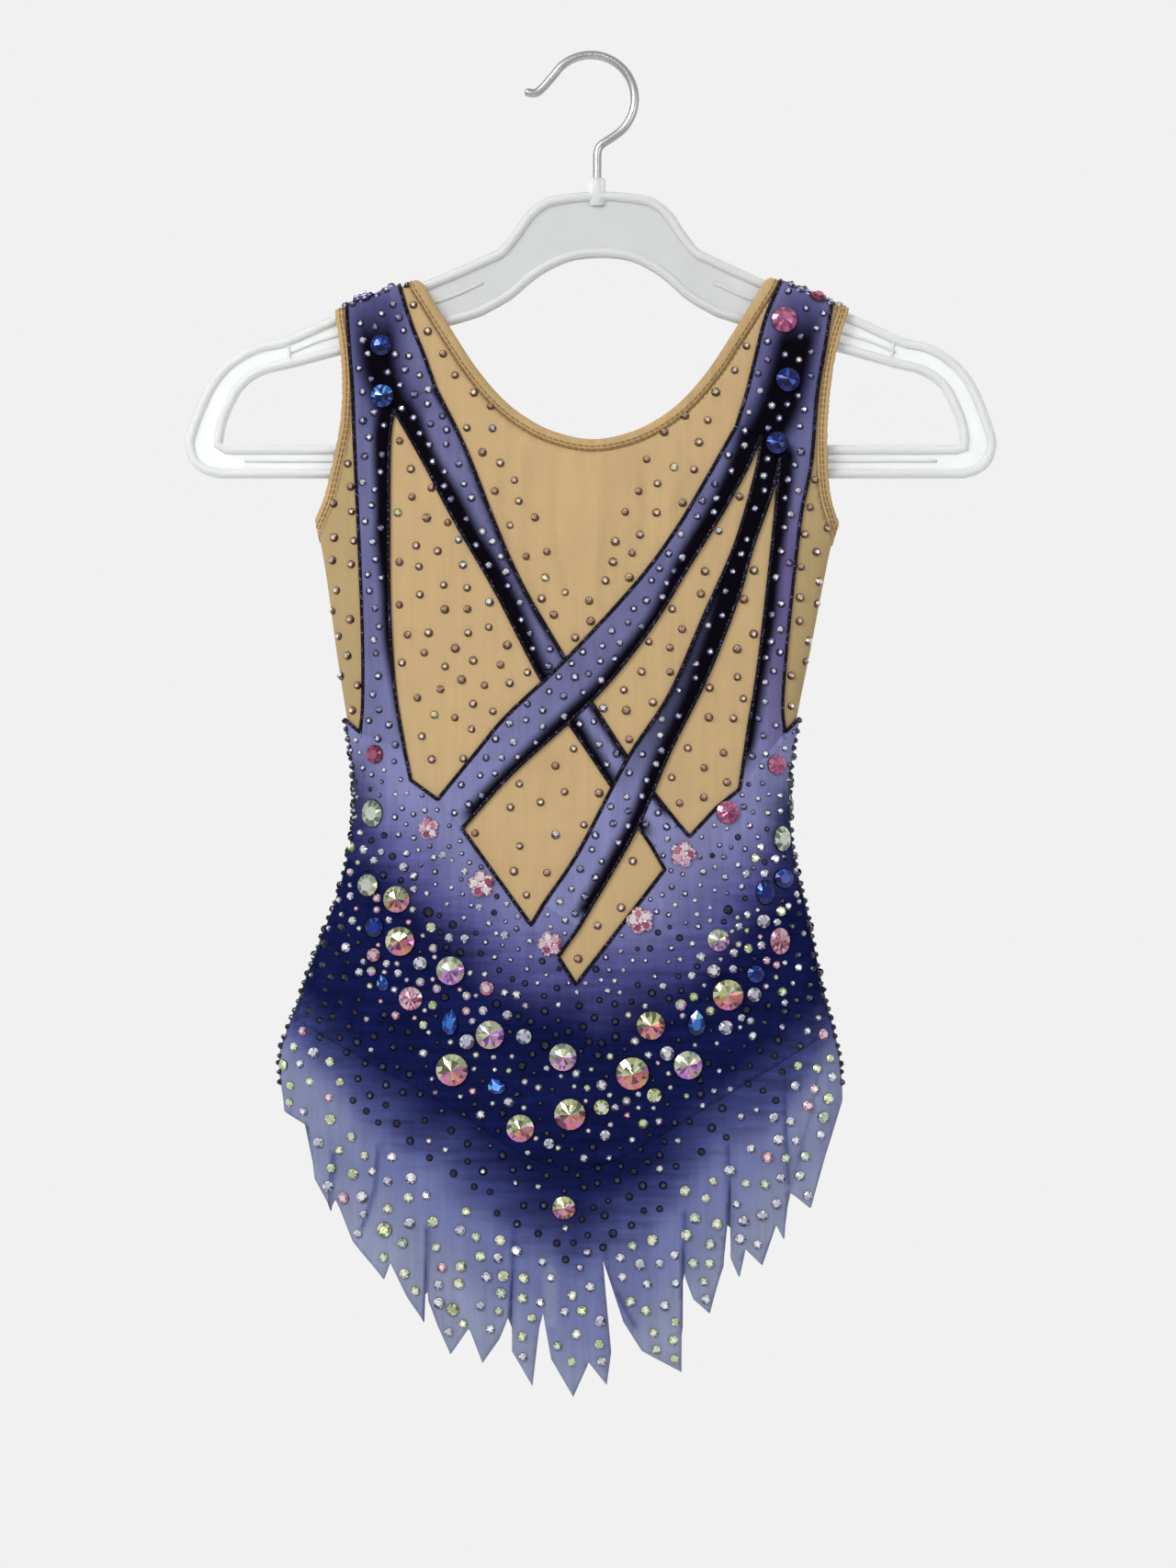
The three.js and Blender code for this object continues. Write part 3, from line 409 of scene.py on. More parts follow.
# %% The sections of the shell, in millimetres
SECTION = np.array([  # height, left edge, right edge, half depth, bluntness
    (-60, -128, 127, 9, 0.5), (-125, -128, 127, 9.4, 0.5), (-165, -125, 124, 10.2, 0.5),
    (-190, -121, 114, 10.8, 0.52), (-205, -118, 106, 11, 0.55), (-225, -114.5, 101.2, 11.4, 0.6),
    (-256, -110.3, 95.3, 11.8, 0.64), (-284, -106, 89.8, 11.8, 0.68), (-307, -102.2, 85.8, 12, 0.7),
    (-328, -101.8, 85.3, 12.6, 0.7), (-346, -104.3, 87, 13.4, 0.7), (-368, -110.5, 92, 14.4, 0.7),
    (-388, -118.3, 96, 15.2, 0.7), (-410, -126, 101, 15.8, 0.7), (-432, -133.6, 106.5, 16.2, 0.7),
    (-455, -132, 108.2, 16.6, 0.72), (-588, -130, 110, 18, 0.74),
])
LEFT, RIGHT, DEPTH, BLUNT = 1, 2, 3, 4


def at_height(column, z):
    """A column of the section table at height z, on a smooth curve through its rows."""
    heights = SECTION[:, 0]
    values = SECTION[:, column]
    last = len(heights) - 1
    row = np.searchsorted(-heights[1:last], -z, side="left")
    before = np.maximum(row - 1, 0)
    after = np.minimum(row + 2, last)
    step = heights[row + 1] - heights[row]
    t = np.clip((z - heights[row]) / step, 0, 1)
    slope_from = (values[row + 1] - values[before]) / (heights[row + 1] - heights[before])
    slope_to = (values[after] - values[row]) / (heights[after] - heights[row])
    return ((2 * t**3 - 3 * t**2 + 1) * values[row] + (t**3 - 2 * t**2 + t) * step * slope_from
            + (3 * t**2 - 2 * t**3) * values[row + 1] + (t**3 - t**2) * step * slope_to)


print("Width at the waist:", round(float(at_height(RIGHT, -320.0) - at_height(LEFT, -320.0)), 1), "mm")

# %% [markdown]
# ## From the flat cut to the hanging cloth
#
# A maker cuts cloth flat. The plan used here is flat too: one way is the angle around the
# section, the other the height, which runs on over the hanger's arm at the shoulders. Meshes
# could be made in the room at once, but in the plan their points are even. Two functions go
# between the front view, the plan and the room.

# %% Sizes of the plan
FRONT, BACK = -1, 1
SIDES = ((FRONT, "front"), (BACK, "back"))
PLAN_RADIUS = 115.0
PLAN_EDGE = PLAN_RADIUS * math.pi / 2
SHOULDER_ROUND = 4.0
SHOULDER_ARC = 11.0
SEAT = 1.7  # from the hanger's arm to the outside of the mesh
CROTCH_START, CROTCH_ROUND, CROTCH_ARC = -492.0, 22.0, 30.0
WAVE_START, HEM_Z, WAVE_DEPTH = -455.0, -588.0, 3.0
HANGER_HALF, HANGER_LEAN = 175.8, 4.5  # half the hanger's width, and how far right its middle lies
ARM_HIGH, ARM_LOW = (74.2, -96.5), (111.5, -110.8)  # two points of its straight arm
SHOULDER_MIDDLE, SHOULDER_HALF = -0.5, 127.5


def smoothstep(value, low, high):
    t = np.clip((value - low) / (high - low), 0, 1)
    return t * t * (3 - 2 * t)


def arm_top(x):
    """The height of the hanger's straight arm at x."""
    half = np.abs(x - HANGER_LEAN * (1 - np.abs(x) / HANGER_HALF))
    return ARM_HIGH[1] + (half - ARM_HIGH[0]) * (ARM_LOW[1] - ARM_HIGH[1]) / (ARM_LOW[0] - ARM_HIGH[0])


def shoulder_x(angle):
    return SHOULDER_MIDDLE + SHOULDER_HALF * np.sin(angle)


def wave(side, angle, z):
    """How far the skirt swings out."""
    grown = smoothstep(WAVE_START - z, 0, WAVE_START - HEM_Z)
    phase = 0.4 if side == FRONT else 2.1
    return WAVE_DEPTH * grown * (0.5 + 0.32 * np.sin(9 * angle + phase) + 0.18 * np.sin(5 * angle - phase))


print("The arm is", round(float(arm_top(80.0) - arm_top(110.0)), 1), "mm lower 30 mm further out")

# %% Between the front view, the plan and the room


def to_plan(outline, brief=False):
    """Points of the front view, taken to the plan. Points off the shell stay off it."""
    x, z = np.asarray(outline, float).T
    middle = (at_height(LEFT, z) + at_height(RIGHT, z)) / 2
    half = (at_height(RIGHT, z) - at_height(LEFT, z)) / 2
    angle = np.arcsin(np.clip((x - middle) / half, -1, 1))
    past = np.maximum(np.abs(x - middle) - half, 0)
    top = arm_top(shoulder_x(angle)) + SEAT
    start = top - SHOULDER_ROUND
    turn = np.arccos(np.clip(1 - (top - z) / SHOULDER_ROUND, 0, 1)) * 2 / math.pi
    v = np.where(z > start, start + SHOULDER_ARC * (1 - turn), z) + np.maximum(z - top, 0)
    if brief:
        turn = np.arcsin(np.clip((CROTCH_START - z) / CROTCH_ROUND, 0, 1)) * 2 / math.pi
        v = np.where(z < CROTCH_START, CROTCH_START - CROTCH_ARC * turn, v)
        v = v - np.maximum(CROTCH_START - CROTCH_ROUND - z, 0)
    return np.column_stack([PLAN_RADIUS * angle + np.sign(x - middle) * past, v])


def on_shell(side, plan, level, brief=False):
    """Points of the plan, taken to their places on the shell, in millimetres."""
    angle = np.clip(plan[:, 0] / PLAN_RADIUS, -math.pi / 2, math.pi / 2)
    v = plan[:, 1]
    start = arm_top(shoulder_x(angle)) + SEAT - SHOULDER_ROUND
    turn = np.clip(1 - (v - start) / SHOULDER_ARC, 0, 1) * math.pi / 2
    z = np.minimum(v, start)
    swing = np.sin(turn)
    rise = (SHOULDER_ROUND + level) * np.cos(turn)
    if brief:
        under = np.clip(1 - (CROTCH_START - v) / CROTCH_ARC, 0, 1) * math.pi / 2
        z = np.maximum(z, CROTCH_START)
        swing = swing * np.sin(under)
        rise = rise - (CROTCH_ROUND + level) * np.cos(under)
    left, right = at_height(LEFT, z), at_height(RIGHT, z)
    x = (left + right) / 2 + ((right - left) / 2 + level) * np.sin(angle)
    bulge = np.maximum(np.cos(angle), 0) ** at_height(BLUNT, z)
    y = side * (at_height(DEPTH, z) + level + wave(side, angle, z)) * bulge * swing
    return np.column_stack([x, y, z + rise])


print("Plan is", round(2 * PLAN_EDGE), "mm wide")

# %% [markdown]
# ## Outlines
#
# The edges of the pieces are short tables of points in the front view, measured in
# millimetres from the hook. Curve objects could hold them, but plain lists of points also
# serve every test, such as whether a stone is inside a band.

# %% Draw lines


def curve(points, steps=6):
    """A smooth line through points, with a few steps between each pair."""
    p = np.asarray(points, float)
    if len(p) < 3:
        return p
    padded = np.vstack([2 * p[0] - p[1], p, 2 * p[-1] - p[-2]])
    t = np.linspace(0, 1, steps, endpoint=False)[:, None]
    runs = []
    for i in range(len(p) - 1):
        a, b, c, d = padded[i:i + 4]
        runs.append(b + 0.5 * t * (c - a) + t**2 * (a - 2.5 * b + 2 * c - 0.5 * d)
                    + t**3 * (1.5 * (b - c) + 0.5 * (d - a)))
    return np.vstack(runs + [p[-1:]])


def dense(outline, step=2.0, closed=True):
    """The same line with points at most a step apart."""
    p = np.asarray(outline, float)
    ends = np.roll(p, -1, axis=0) if closed else p[1:]
    starts = p if closed else p[:-1]
    parts = []
    for a, b in zip(starts, ends):
        count = max(1, math.ceil(np.linalg.norm(b - a) / step))
        parts.append(a + (b - a) * (np.arange(count) / count)[:, None])
    return np.vstack(parts if closed else parts + [p[-1:]])


print("A quarter turn of the neck has", len(curve([(76, -92), (69, -106), (60, -121)])), "points")

# %% Measure from lines


def inside(points, outline):
    """Which points lie inside a closed outline."""
    x, z = points[:, 0], points[:, 1]
    result = np.zeros(len(points), bool)
    for (x1, z1), (x2, z2) in zip(outline, np.roll(outline, -1, axis=0)):
        if z1 != z2:
            result ^= ((z1 > z) != (z2 > z)) & (x < (x2 - x1) * (z - z1) / (z2 - z1) + x1)
    return result


def away(points, line, closed=False):
    """The distance of each point from a line."""
    line = np.asarray(line, float)
    ends = np.roll(line, -1, axis=0) if closed else line[1:]
    starts = line if closed else line[:-1]
    nearest = np.full(len(points), 1e9)
    for a, b in zip(starts, ends):
        along = b - a
        t = np.clip((points - a) @ along / max(along @ along, 1e-9), 0, 1)
        nearest = np.minimum(nearest, np.linalg.norm(points - a - t[:, None] * along, axis=1))
    return nearest


def away_from_all(points, lines):
    """The distance of each point from the nearest of several lines."""
    return np.min([away(points, line) for line in lines], axis=0)


def beside(line, distance):
    """A line moved to its left by a distance."""
    line = np.asarray(line, float)
    along = np.gradient(line, axis=0)
    along /= np.linalg.norm(along, axis=1)[:, None]
    return line + distance * np.column_stack([-along[:, 1], along[:, 0]])


print("From a point to a line beside it:", away(np.zeros((1, 2)), [(1, -1), (1, 1)])[0])

# %% [markdown]
# ## Neck and armholes
#
# The neck is a deep round scoop, and the armholes are cut in towards the chest. The neck is
# nearly the same on both sides, so half of it is measured and mirrored. The armholes differ
# a little, as they hang, so each has its own table.

# %% Neck and armholes
NECK_TAPE, ARMHOLE_TAPE = 5.5, 5.0
NECK_TOP, NECK_LOW = -96.5, -165.6
BACK_NECK_DROP = 11  # the back is cut lower in the middle
OVER_ALL = -40  # a height above every cloth
BESIDE_ALL = 175  # a distance beyond every cloth
HALF_NECK = [(76, -92), (75, -96.5), (69, -106.5), (60, -120.8), (51, -134.4), (41, -146.4),
             (30.5, -155.2), (17, -162.2), (0, -165.6)]
LEFT_ARMHOLE = [(-111.3, -100), (-111, -110), (-108.6, -126.5), (-107.6, -142), (-108.4, -158),
                (-110.4, -169), (-113, -180), (-116, -191), (-121.5, -203.5)]
RIGHT_ARMHOLE = [(113, -98), (112, -109), (108.2, -121), (105.4, -133), (103.6, -147),
                 (102.6, -163), (102.9, -178.5), (104.3, -191), (109.5, -206)]


def neck_line(side):
    """The neck's edge from left to right."""
    drop = 0 if side == FRONT else BACK_NECK_DROP
    half = []
    for x, z in HALF_NECK:
        share = min(max((z - NECK_TOP) / (NECK_LOW - NECK_TOP), 0), 1)
        half.append((x, z - drop * share))
    right = [(1 + x, z) for x, z in half]
    left = [(1 - x, z) for x, z in half[:-1]]
    return curve(left + right[::-1])


def armhole_line(side, table):
    shift = 0 if side == FRONT else -1.5 * np.sign(table[0][0])
    return curve([(x + shift, z) for x, z in table])


def neck_outline(side, tape=0.0):
    line = beside(neck_line(side), -tape)
    return np.vstack([line, [(line[-1][0], OVER_ALL), (line[0][0], OVER_ALL)]])


def armhole_outline(side, table, tape=0.0):
    sign = np.sign(table[0][0])
    line = beside(armhole_line(side, table), sign * -tape)
    start = line[0] + (line[0] - line[1]) * 3
    end = line[-1] + (line[-1] - line[-2]) * 2
    return np.vstack([start, line, end, (sign * BESIDE_ALL, end[1]), (sign * BESIDE_ALL, start[1])])


print("The neck is", round(np.ptp(neck_line(FRONT)[:, 0])), "mm wide")

# %% [markdown]
# ## The bands
#
# Two side bands run from the shoulders down beside the armholes. A band from the left
# shoulder crosses under two bands from the right one. A band could be a ribbon of one width
# along a middle line, but the real ones widen towards their ends, so each has a table for
# both edges. Where one lies over another the lower one stops, so the cloth never doubles up.

# %% Edges of the bands
LEFT_SIDE_OUTER = [(-105.5, -95), (-103.6, -123.5), (-102, -143.5), (-101.3, -164.5), (-100.3, -187),
                   (-98.7, -220.5), (-97.6, -254), (-97.6, -280), (-98.6, -292)]
LEFT_STRAP_INNER = [(-84.5, -91), (-77.5, -114), (-72, -128), (-66.5, -143.5)]
LEFT_SIDE_INNER = [(-84.5, -152.5), (-86.4, -169), (-86.5, -216.5), (-85.6, -247), (-83.5, -275.5),
                   (-79.5, -300)]
RIGHT_SIDE_OUTER = [(105.5, -92), (101, -121.5), (97, -146), (94.6, -175), (90, -198), (86.6, -225.5),
                    (83.6, -256), (82, -280), (83, -292)]
RIGHT_STRAP_INNER = [(85, -90), (75.5, -111), (70, -132), (66.5, -146), (62.2, -160)]
RIGHT_SIDE_INNER = [(81, -173.5), (79, -198), (75, -234.5), (71, -267), (67.5, -289), (63.5, -316.5)]
RIGHT_CROSS_LOW = [(73, -163), (67.5, -176.5), (56, -197.5), (42, -220), (25.5, -247), (2, -276.5),
                   (-33.5, -309.5), (-55, -333.5)]
RIGHT_CROSS_HIGH = [(62.2, -160), (49, -183.5), (36.5, -204.5), (20, -227), (-10.5, -260.5),
                    (-36, -285), (-48.5, -300), (-65.5, -321)]
CENTRE_RIGHT = [(81, -173.5), (77, -190), (69, -212.5), (62.5, -234.5), (49, -269), (33.5, -300.5),
                (19, -334), (-5.2, -376)]
CENTRE_LEFT = [(73, -163), (71, -178.5), (62, -210), (49, -240), (33.5, -275.5), (15.5, -303.5),
               (-5, -343), (-20.3, -366)]
LEFT_CROSS_LOW = [(-84.5, -152.5), (-72, -174.5), (-58, -201), (-40.5, -231.5), (-20.5, -270.5),
                  (0, -302), (19.5, -331.5), (25.5, -340.5)]
LEFT_CROSS_HIGH = [(-66.5, -143.5), (-54, -169), (-41.5, -201), (-31.5, -224.5), (-11, -260.5),
                   (15.5, -303), (36.5, -330.5)]
print("Edges measured at", len(RIGHT_CROSS_LOW) + len(RIGHT_CROSS_HIGH), "points on the longest band")

# %% [markdown]
# ## The body and its seams
#
# The body's upper edge follows the bands' ends and the points of the windows between them.
# The yoke goes down behind it, and the skirt is sewn on below along a V that follows the
# dark dye. The windows could be cut out as holes, but listed from left to right the edge is
# one line that the cords can follow too.

# %% Edges of the body
BODY_LEFT_TOP = [(-140, -257), (-98.6, -292)]
BODY_WINDOWS = [
    [(-79.5, -300), (-77, -312.5), (-65.5, -321)],
    [(-55, -333.5), (-25.5, -375), (-20.3, -366)],
    [(-5.2, -376), (-14, -388.5), (-6.5, -400.5), (31.5, -351), (25.5, -340.5)],
    [(36.5, -330.5), (42, -337), (53.5, -324.5), (63.5, -316.5)],
]
BODY_RIGHT_TOP = [(83, -292), (130, -247)]
BACK_BODY_TOP = [(-140, -257), (-98.6, -292), (-60, -318), (-8, -334), (45, -318), (83, -292),
                 (130, -247)]
YOKE_BOTTOM = [(-140, -270), (-98, -306), (-62, -345), (-6.5, -416), (38, -362), (72, -324),
               (130, -258)]
SKIRT_SEAM = [(-150, -403), (-130, -414), (-95, -434), (-59, -454), (-30, -473), (-9, -480),
              (15, -474), (50, -453), (80, -435), (106, -419), (125, -407)]


def joined(*lines):
    return np.vstack([np.asarray(line, float) for line in lines])


def above(line, height=-30):
    return joined(line, [(line[-1][0], height), (line[0][0], height)])


left_side = joined(curve(LEFT_SIDE_OUTER), curve(LEFT_SIDE_INNER)[::-1], curve(LEFT_STRAP_INNER)[::-1])
right_side = joined(curve(RIGHT_SIDE_OUTER), curve(RIGHT_SIDE_INNER)[::-1],
                    [(73, -163)], curve(RIGHT_STRAP_INNER)[::-1])
right_cross = joined(curve(RIGHT_CROSS_LOW), curve(RIGHT_CROSS_HIGH)[::-1])
centre = joined(curve(CENTRE_RIGHT), curve(CENTRE_LEFT)[::-1])
left_cross = joined(curve(LEFT_CROSS_LOW), curve(LEFT_CROSS_HIGH)[::-1])
BANDS = [left_side, right_side, right_cross, centre, left_cross]
body_edge = joined(BODY_LEFT_TOP, *BODY_WINDOWS, BODY_RIGHT_TOP)
print("Bands:", len(BANDS))

# %% [markdown]
# ## The hem and the brief
#
# The skirt's hem is cut into long uneven points, some with a slit between them. A saw-tooth
# from a formula would look too even, so points and notches are measured one by one. The
# back gets others of the same kind. The brief inside is a plain shape with two legs.

# %% Hem and brief outlines
FRONT_HEM = [
    (-150, -446), (-134.5, -446), (-131.5, -456), (-121, -462), (-118.5, -484.5), (-111, -498),
    (-109, -493), (-101.5, -511), (-89, -527), (-86, -519.5), (-78, -534), (-70.5, -545),
    (-70, -518.5), (-69, -536.5), (-65.5, -547), (-60.5, -559), (-52, -547.5), (-46, -562.5),
    (-39, -552.5), (-34.5, -541.5), (-33, -522.5), (-33.6, -557.5), (-25, -572.5), (-22, -547),
    (-20.5, -541.5), (-17, -561), (-7.5, -577), (-1, -562), (6.5, -571.5), (8.5, -557.5),
    (5, -518.5), (14, -545), (22, -557.5), (38.5, -566.5), (38.7, -512), (40, -526),
    (43.5, -535.5), (50.5, -541.5), (57, -521.5), (59, -483.5), (60.2, -518), (63.5, -526),
    (66, -514), (73, -521), (79, -503.5), (82.5, -510), (84.5, -488.5), (94, -497),
    (100.5, -474), (108, -451.5), (110.5, -441), (125, -441)]
BACK_HEM = [
    (-150, -446), (-134, -446), (-130, -458), (-124, -462), (-121, -478), (-117.5, -490),
    (-110, -482), (-103, -506), (-95, -498), (-88, -522), (-79, -510), (-72, -538), (-62, -522),
    (-53, -554), (-42, -534), (-31, -562), (-20, -540), (-7, -570), (0, -548), (5, -519),
    (14.5, -545), (20, -552), (26, -536), (34, -556), (42, -524), (52, -534), (58, -506), (67, -514),
    (74, -492),
    (84.5, -509), (88, -480), (97, -482), (104, -456), (110.5, -446), (125, -446)]
BRIEF = [
    (-150, -400), (-100, -416), (-9, -438), (80, -416), (125, -402), (125, -430), (106, -434),
    (76, -447), (44, -468), (20, -494), (12, -520), (-34, -520), (-42, -494), (-66, -468),
    (-98, -447), (-130, -434), (-150, -430)]
print("Points of the front hem:", sum(1 for a, b, c in zip(FRONT_HEM, FRONT_HEM[1:], FRONT_HEM[2:])
                                      if b[1] < a[1] and b[1] < c[1]))

# %% [markdown]
# ## Soft folds
#
# Stretch cloth on a hanger is almost smooth, with faint creases under the neck, where its
# weight pulls, and a few folds down the skirt. A simulation would shake the layers apart, so
# the folds are lines with a width and a height, added to the level of the shell. All layers
# rise and sink together, and never cut through each other.

# %% Where the creases are
# Shade is also painted along these creases, in the colour of the skirt.
SKIRT_CREASES = [  # sharp creases that run up from the notches of the hem
    [(-90.5, -472), (-92, -488), (-97, -504)], [(-69.7, -506), (-70, -530), (-70.3, -545)],
    [(-32.7, -508), (-33.2, -525), (-34.5, -549)], [(5.2, -506), (6.5, -524), (18, -546)],
    [(39.3, -500), (39, -520), (38.4, -548)], [(57.6, -470), (58.4, -490), (58.8, -514)],
    [(81.2, -440), (82.2, -460), (84, -486)], [(-109.5, -474), (-111, -497)],
]
# Shade is also painted along these creases, in the colour of the mesh.
CHEST_CREASES = [
    [(-38, -176), (-37, -206), (-32, -226)], [(-28, -170), (-31, -215), (-24, -240)],
    [(-14, -172), (-16, -205), (-11, -232)], [(4, -172), (5, -200), (2, -236)],
    [(20, -170), (24, -198), (20, -215)], [(36, -166), (40, -180), (34, -196)],
]
FOLD_LINES = [(line, 1.3, 0.9) for line in SKIRT_CREASES]
FOLD_LINES += [(line, 2.6, 0.7 if i % 2 else -0.7) for i, line in enumerate(CHEST_CREASES)]
FOLD_LINES += [  # line, half width, height in millimetres
    ([(-118, -440), (-112, -470), (-110, -495)], 2.5, 1.2),
    ([(98, -440), (92, -470), (86, -492)], 2.5, -1.2),
    ([(-38, -326), (-20, -328), (-6, -331)], 0.9, -0.35),
    ([(-45, -333), (-20, -334.5), (0, -335)], 1.1, 0.3),
    ([(-95, -300), (-88, -340), (-100, -380)], 6.0, 0.5),
    ([(70, -330), (62, -370), (72, -410)], 7.0, -0.6),
    ([(-20, -400), (-14, -440), (-22, -470)], 8.0, 0.6),
    ([(20, -400), (30, -440), (26, -480)], 8.0, -0.5),
]
print("Fold lines:", len(FOLD_LINES))

# %% The relief of the cloth
FLUTTER_FROM, FLUTTER_FULL = 470, 560  # depths below the hook between which the hem starts to flutter
SMOOTH_UNTIL, FOLDED_FROM = 112, 150  # the cloth is smooth where it bears on the hanger


def relief(side, plan):
    """How far the cloth stands out of the smooth shell, in millimetres."""
    x = plan[:, 0]
    z = plan[:, 1]
    height = 0.10 * np.sin(x / 9.5 + 1.4 * np.sin(z / 37)) + 0.12 * np.sin(z / 23 + 1.1 * np.sin(x / 31))
    flutter = smoothstep(-z, FLUTTER_FROM, FLUTTER_FULL)
    height = height + flutter * (0.9 * np.sin(x / 6.3 + 0.5 * side) + 0.5 * np.sin(x / 3.9 + z / 21))
    for points, width, tall in FOLD_LINES:
        line = to_plan(points)
        if side == BACK:
            line = line * (-1, 1)
        fall = np.exp(-(away(plan, line) / width) ** 2)
        height = height + tall * fall
    return height * smoothstep(-z, SMOOTH_UNTIL, FOLDED_FROM)


sample = relief(FRONT, np.column_stack([np.zeros(50), np.linspace(-150, -480, 50)]))
print("Down the middle the cloth rises and sinks by", round(float(np.ptp(sample)), 2), "mm")

# %% [markdown]
# ## Dye
#
# The cloth is dyed by airbrush, from pale periwinkle at the hem through violet to navy, and
# the bands go to black along one edge. The colours could be painted by hand on each point.
# Worked out from how far a point lies from a dark line or an edge, they fade as an airbrush
# does, and they match where one piece meets the next. Shade is painted in the same way along
# the creases and on the mesh at its sides.

# %% The dyes
BAND_VIOLET = np.array((0.150, 0.148, 0.300))
SLATE = np.array((0.040, 0.044, 0.085))
PLUM = np.array((0.125, 0.072, 0.215))
BLACK_DYE = np.array((0.003, 0.002, 0.005))
LILAC = np.array((0.222, 0.226, 0.432))
DEEP_VIOLET = np.array((0.085, 0.080, 0.255))
NAVY = np.array((0.006, 0.009, 0.060))
DUSK_BLUE = np.array((0.050, 0.060, 0.190))
MIST_BLUE = np.array((0.160, 0.180, 0.370))
PALE = np.array((0.270, 0.295, 0.430))
NUDE = np.array((0.575, 0.395, 0.195))
SHADED_NUDE = np.array((0.440, 0.318, 0.152))
print("Darkest and palest dye:", BLACK_DYE, PALE)

# %% Where the dye is dark
LEFT_FORK = [(-92, -112), (-90, -135), (-84.5, -152.5)]
RIGHT_FORK = [(90, -114), (81, -150), (73, -166)]
FORK_TOP = (-106, -124)  # the black comes in softly between these heights
JUNCTIONS = [  # where bands run into the body, and the dye has to meet
    [(-98.6, -292), (-79.5, -300)], [(-65.5, -321), (-55, -333.5)], [(-20.3, -366), (-5.2, -376)],
    [(25.5, -340.5), (36.5, -330.5)], [(63.5, -316.5), (83, -292)],
]
DARK_EDGES = {  # for each band: a line, its black width at depths below the hook, and its soft shade
    "side_band_left": [(LEFT_SIDE_INNER, [(150, 4.6), (205, 3.6), (238, 1.4), (262, -0.6), (300, -2)], 4),
                       (LEFT_FORK, [(110, 4)], 7)],
    "side_band_right": [(RIGHT_SIDE_INNER, [(170, 5), (200, 3.5), (240, 2.5), (300, 0.8)], 4.5),
                        (RIGHT_FORK, [(110, 5)], 7)],
    "cross_band_right": [(RIGHT_CROSS_LOW, [(163, 6.5), (200, 4.5), (250, 2.4), (330, 1.4)], 5),
                         (RIGHT_FORK, [(110, 4)], 5)],
    "centre_band": [(CENTRE_RIGHT, [(173, 12), (212, 10), (245, 6.5), (280, 4.5), (370, 2.6)], 5),
                    (CENTRE_LEFT, [(170, 1.2), (290, 0.4), (310, -2)], 2.5)],
    "cross_band_left": [(LEFT_CROSS_LOW, [(150, 5.5), (235, 4.8), (275, 2.2), (340, 1.4)], 5),
                        (LEFT_CROSS_HIGH, [(240, 0.1), (290, 1.0)], 2.5), (LEFT_FORK, [(110, 4)], 7)],
}
PALE_STRIP = [(-17.6, -524), (-17, -545)]  # where one point of the hem lies double
NAVY_TOP = [(-140, -318), (-112, -332), (-88, -348), (-60, -376), (-30, -402), (0, -410),
            (30, -400), (60, -378), (82, -352), (100, -330), (140, -318)]
NAVY_LOW = [(-140, -405), (-124, -420), (-96, -449), (-57, -476), (-33, -499), (-7, -516),
            (22, -498), (46, -470), (82, -440), (102, -418), (140, -395)]
print("Dark edges:", sum(len(lines) for lines in DARK_EDGES.values()))

# %% Mix and brush


def height_on(line, x):
    points = np.array(line, float)
    return np.interp(x, points[:, 0], points[:, 1])


def mix(a, b, share):
    return a + (b - a) * share[:, None]


def brushed(points):
    """An uneven amount, in millimetres, by which the airbrush strayed."""
    x, z = points[:, 0], points[:, 1]
    return (2.6 * np.sin(x / 13 + 1.7 * np.sin(z / 19)) + 1.8 * np.sin(z / 7.5 + 2.1 * np.sin(x / 23))
            + 1.2 * np.sin(x / 4.7 - z / 11))


print("Half way from violet to navy:", mix(DEEP_VIOLET, NAVY, np.array([0.5]))[0].round(3))

# %% The colour of the mesh, with painted shade


def nude_colour_and_painted_shade(points):
    """The colour of the mesh, with shade painted in at the sides, where it turns away, and along the chest
    creases, and a little darker low down.
    """
    x, z = points[:, 0], points[:, 1]
    left = np.interp(-z, [-p[1] for p in LEFT_SIDE_OUTER], [p[0] for p in LEFT_SIDE_OUTER])
    right = np.interp(-z, [-p[1] for p in RIGHT_SIDE_OUTER], [p[0] for p in RIGHT_SIDE_OUTER])
    beyond = np.maximum(left - x, x - right)
    # painted shade at the sides, where the mesh turns away, and a little darker low down
    shade = 0.9 * smoothstep(beyond, -3, 5) + 0.1 * smoothstep(-z, 280, 350)
    # painted shade along the chest creases
    for line in CHEST_CREASES:
        shade = shade + 0.26 * np.exp(-(away(points, line) / 1.7) ** 2)
    return mix(NUDE, SHADED_NUDE, np.minimum(shade, 1))


print("The mesh in the middle of the chest:", nude_colour_and_painted_shade(np.array([(0.0, -250.0)]))[0].round(3))

# %% The colours of a band


def band_dye(name):
    """The colour of one band, as a function of points of the front view."""
    def dye(points):
        dark = np.zeros(len(points))
        for line, widths, shade in DARK_EDGES[name]:
            full = np.interp(-points[:, 1], *np.transpose(widths))
            over = away(points, curve(line)) + 0.16 * brushed(points) - full
            dark = np.maximum(dark, 1 - smoothstep(over, 0, shade))
        dark = dark * smoothstep(-points[:, 1], -FORK_TOP[0], -FORK_TOP[1])
        for line in JUNCTIONS:
            dark = dark * smoothstep(away(points, line), 0.5, 8)
        reddish = smoothstep(points[:, 0], 66, 92) * smoothstep(-points[:, 1], 170, 240)
        reddish = reddish * (1 - smoothstep(-points[:, 1], 290, 320))
        low = smoothstep(-points[:, 1], 250, 330)
        base = mix(BAND_VIOLET, LILAC, low)
        fork = np.minimum(away(points, LEFT_FORK), away(points, RIGHT_FORK))
        base = mix(base, DEEP_VIOLET * 0.6, 0.8 * (1 - smoothstep(fork + brushed(points) * 0.5, 5, 18)))
        if name == "centre_band":
            base = mix(base, SLATE, 0.85 * (1 - smoothstep(-points[:, 1], 285, 322)))
        return mix(mix(base, PLUM, 0.75 * reddish), BLACK_DYE, dark)
    return dye


print("The left band half way down:", band_dye("side_band_left")(np.array([(-92.0, -220.0)]))[0].round(3))
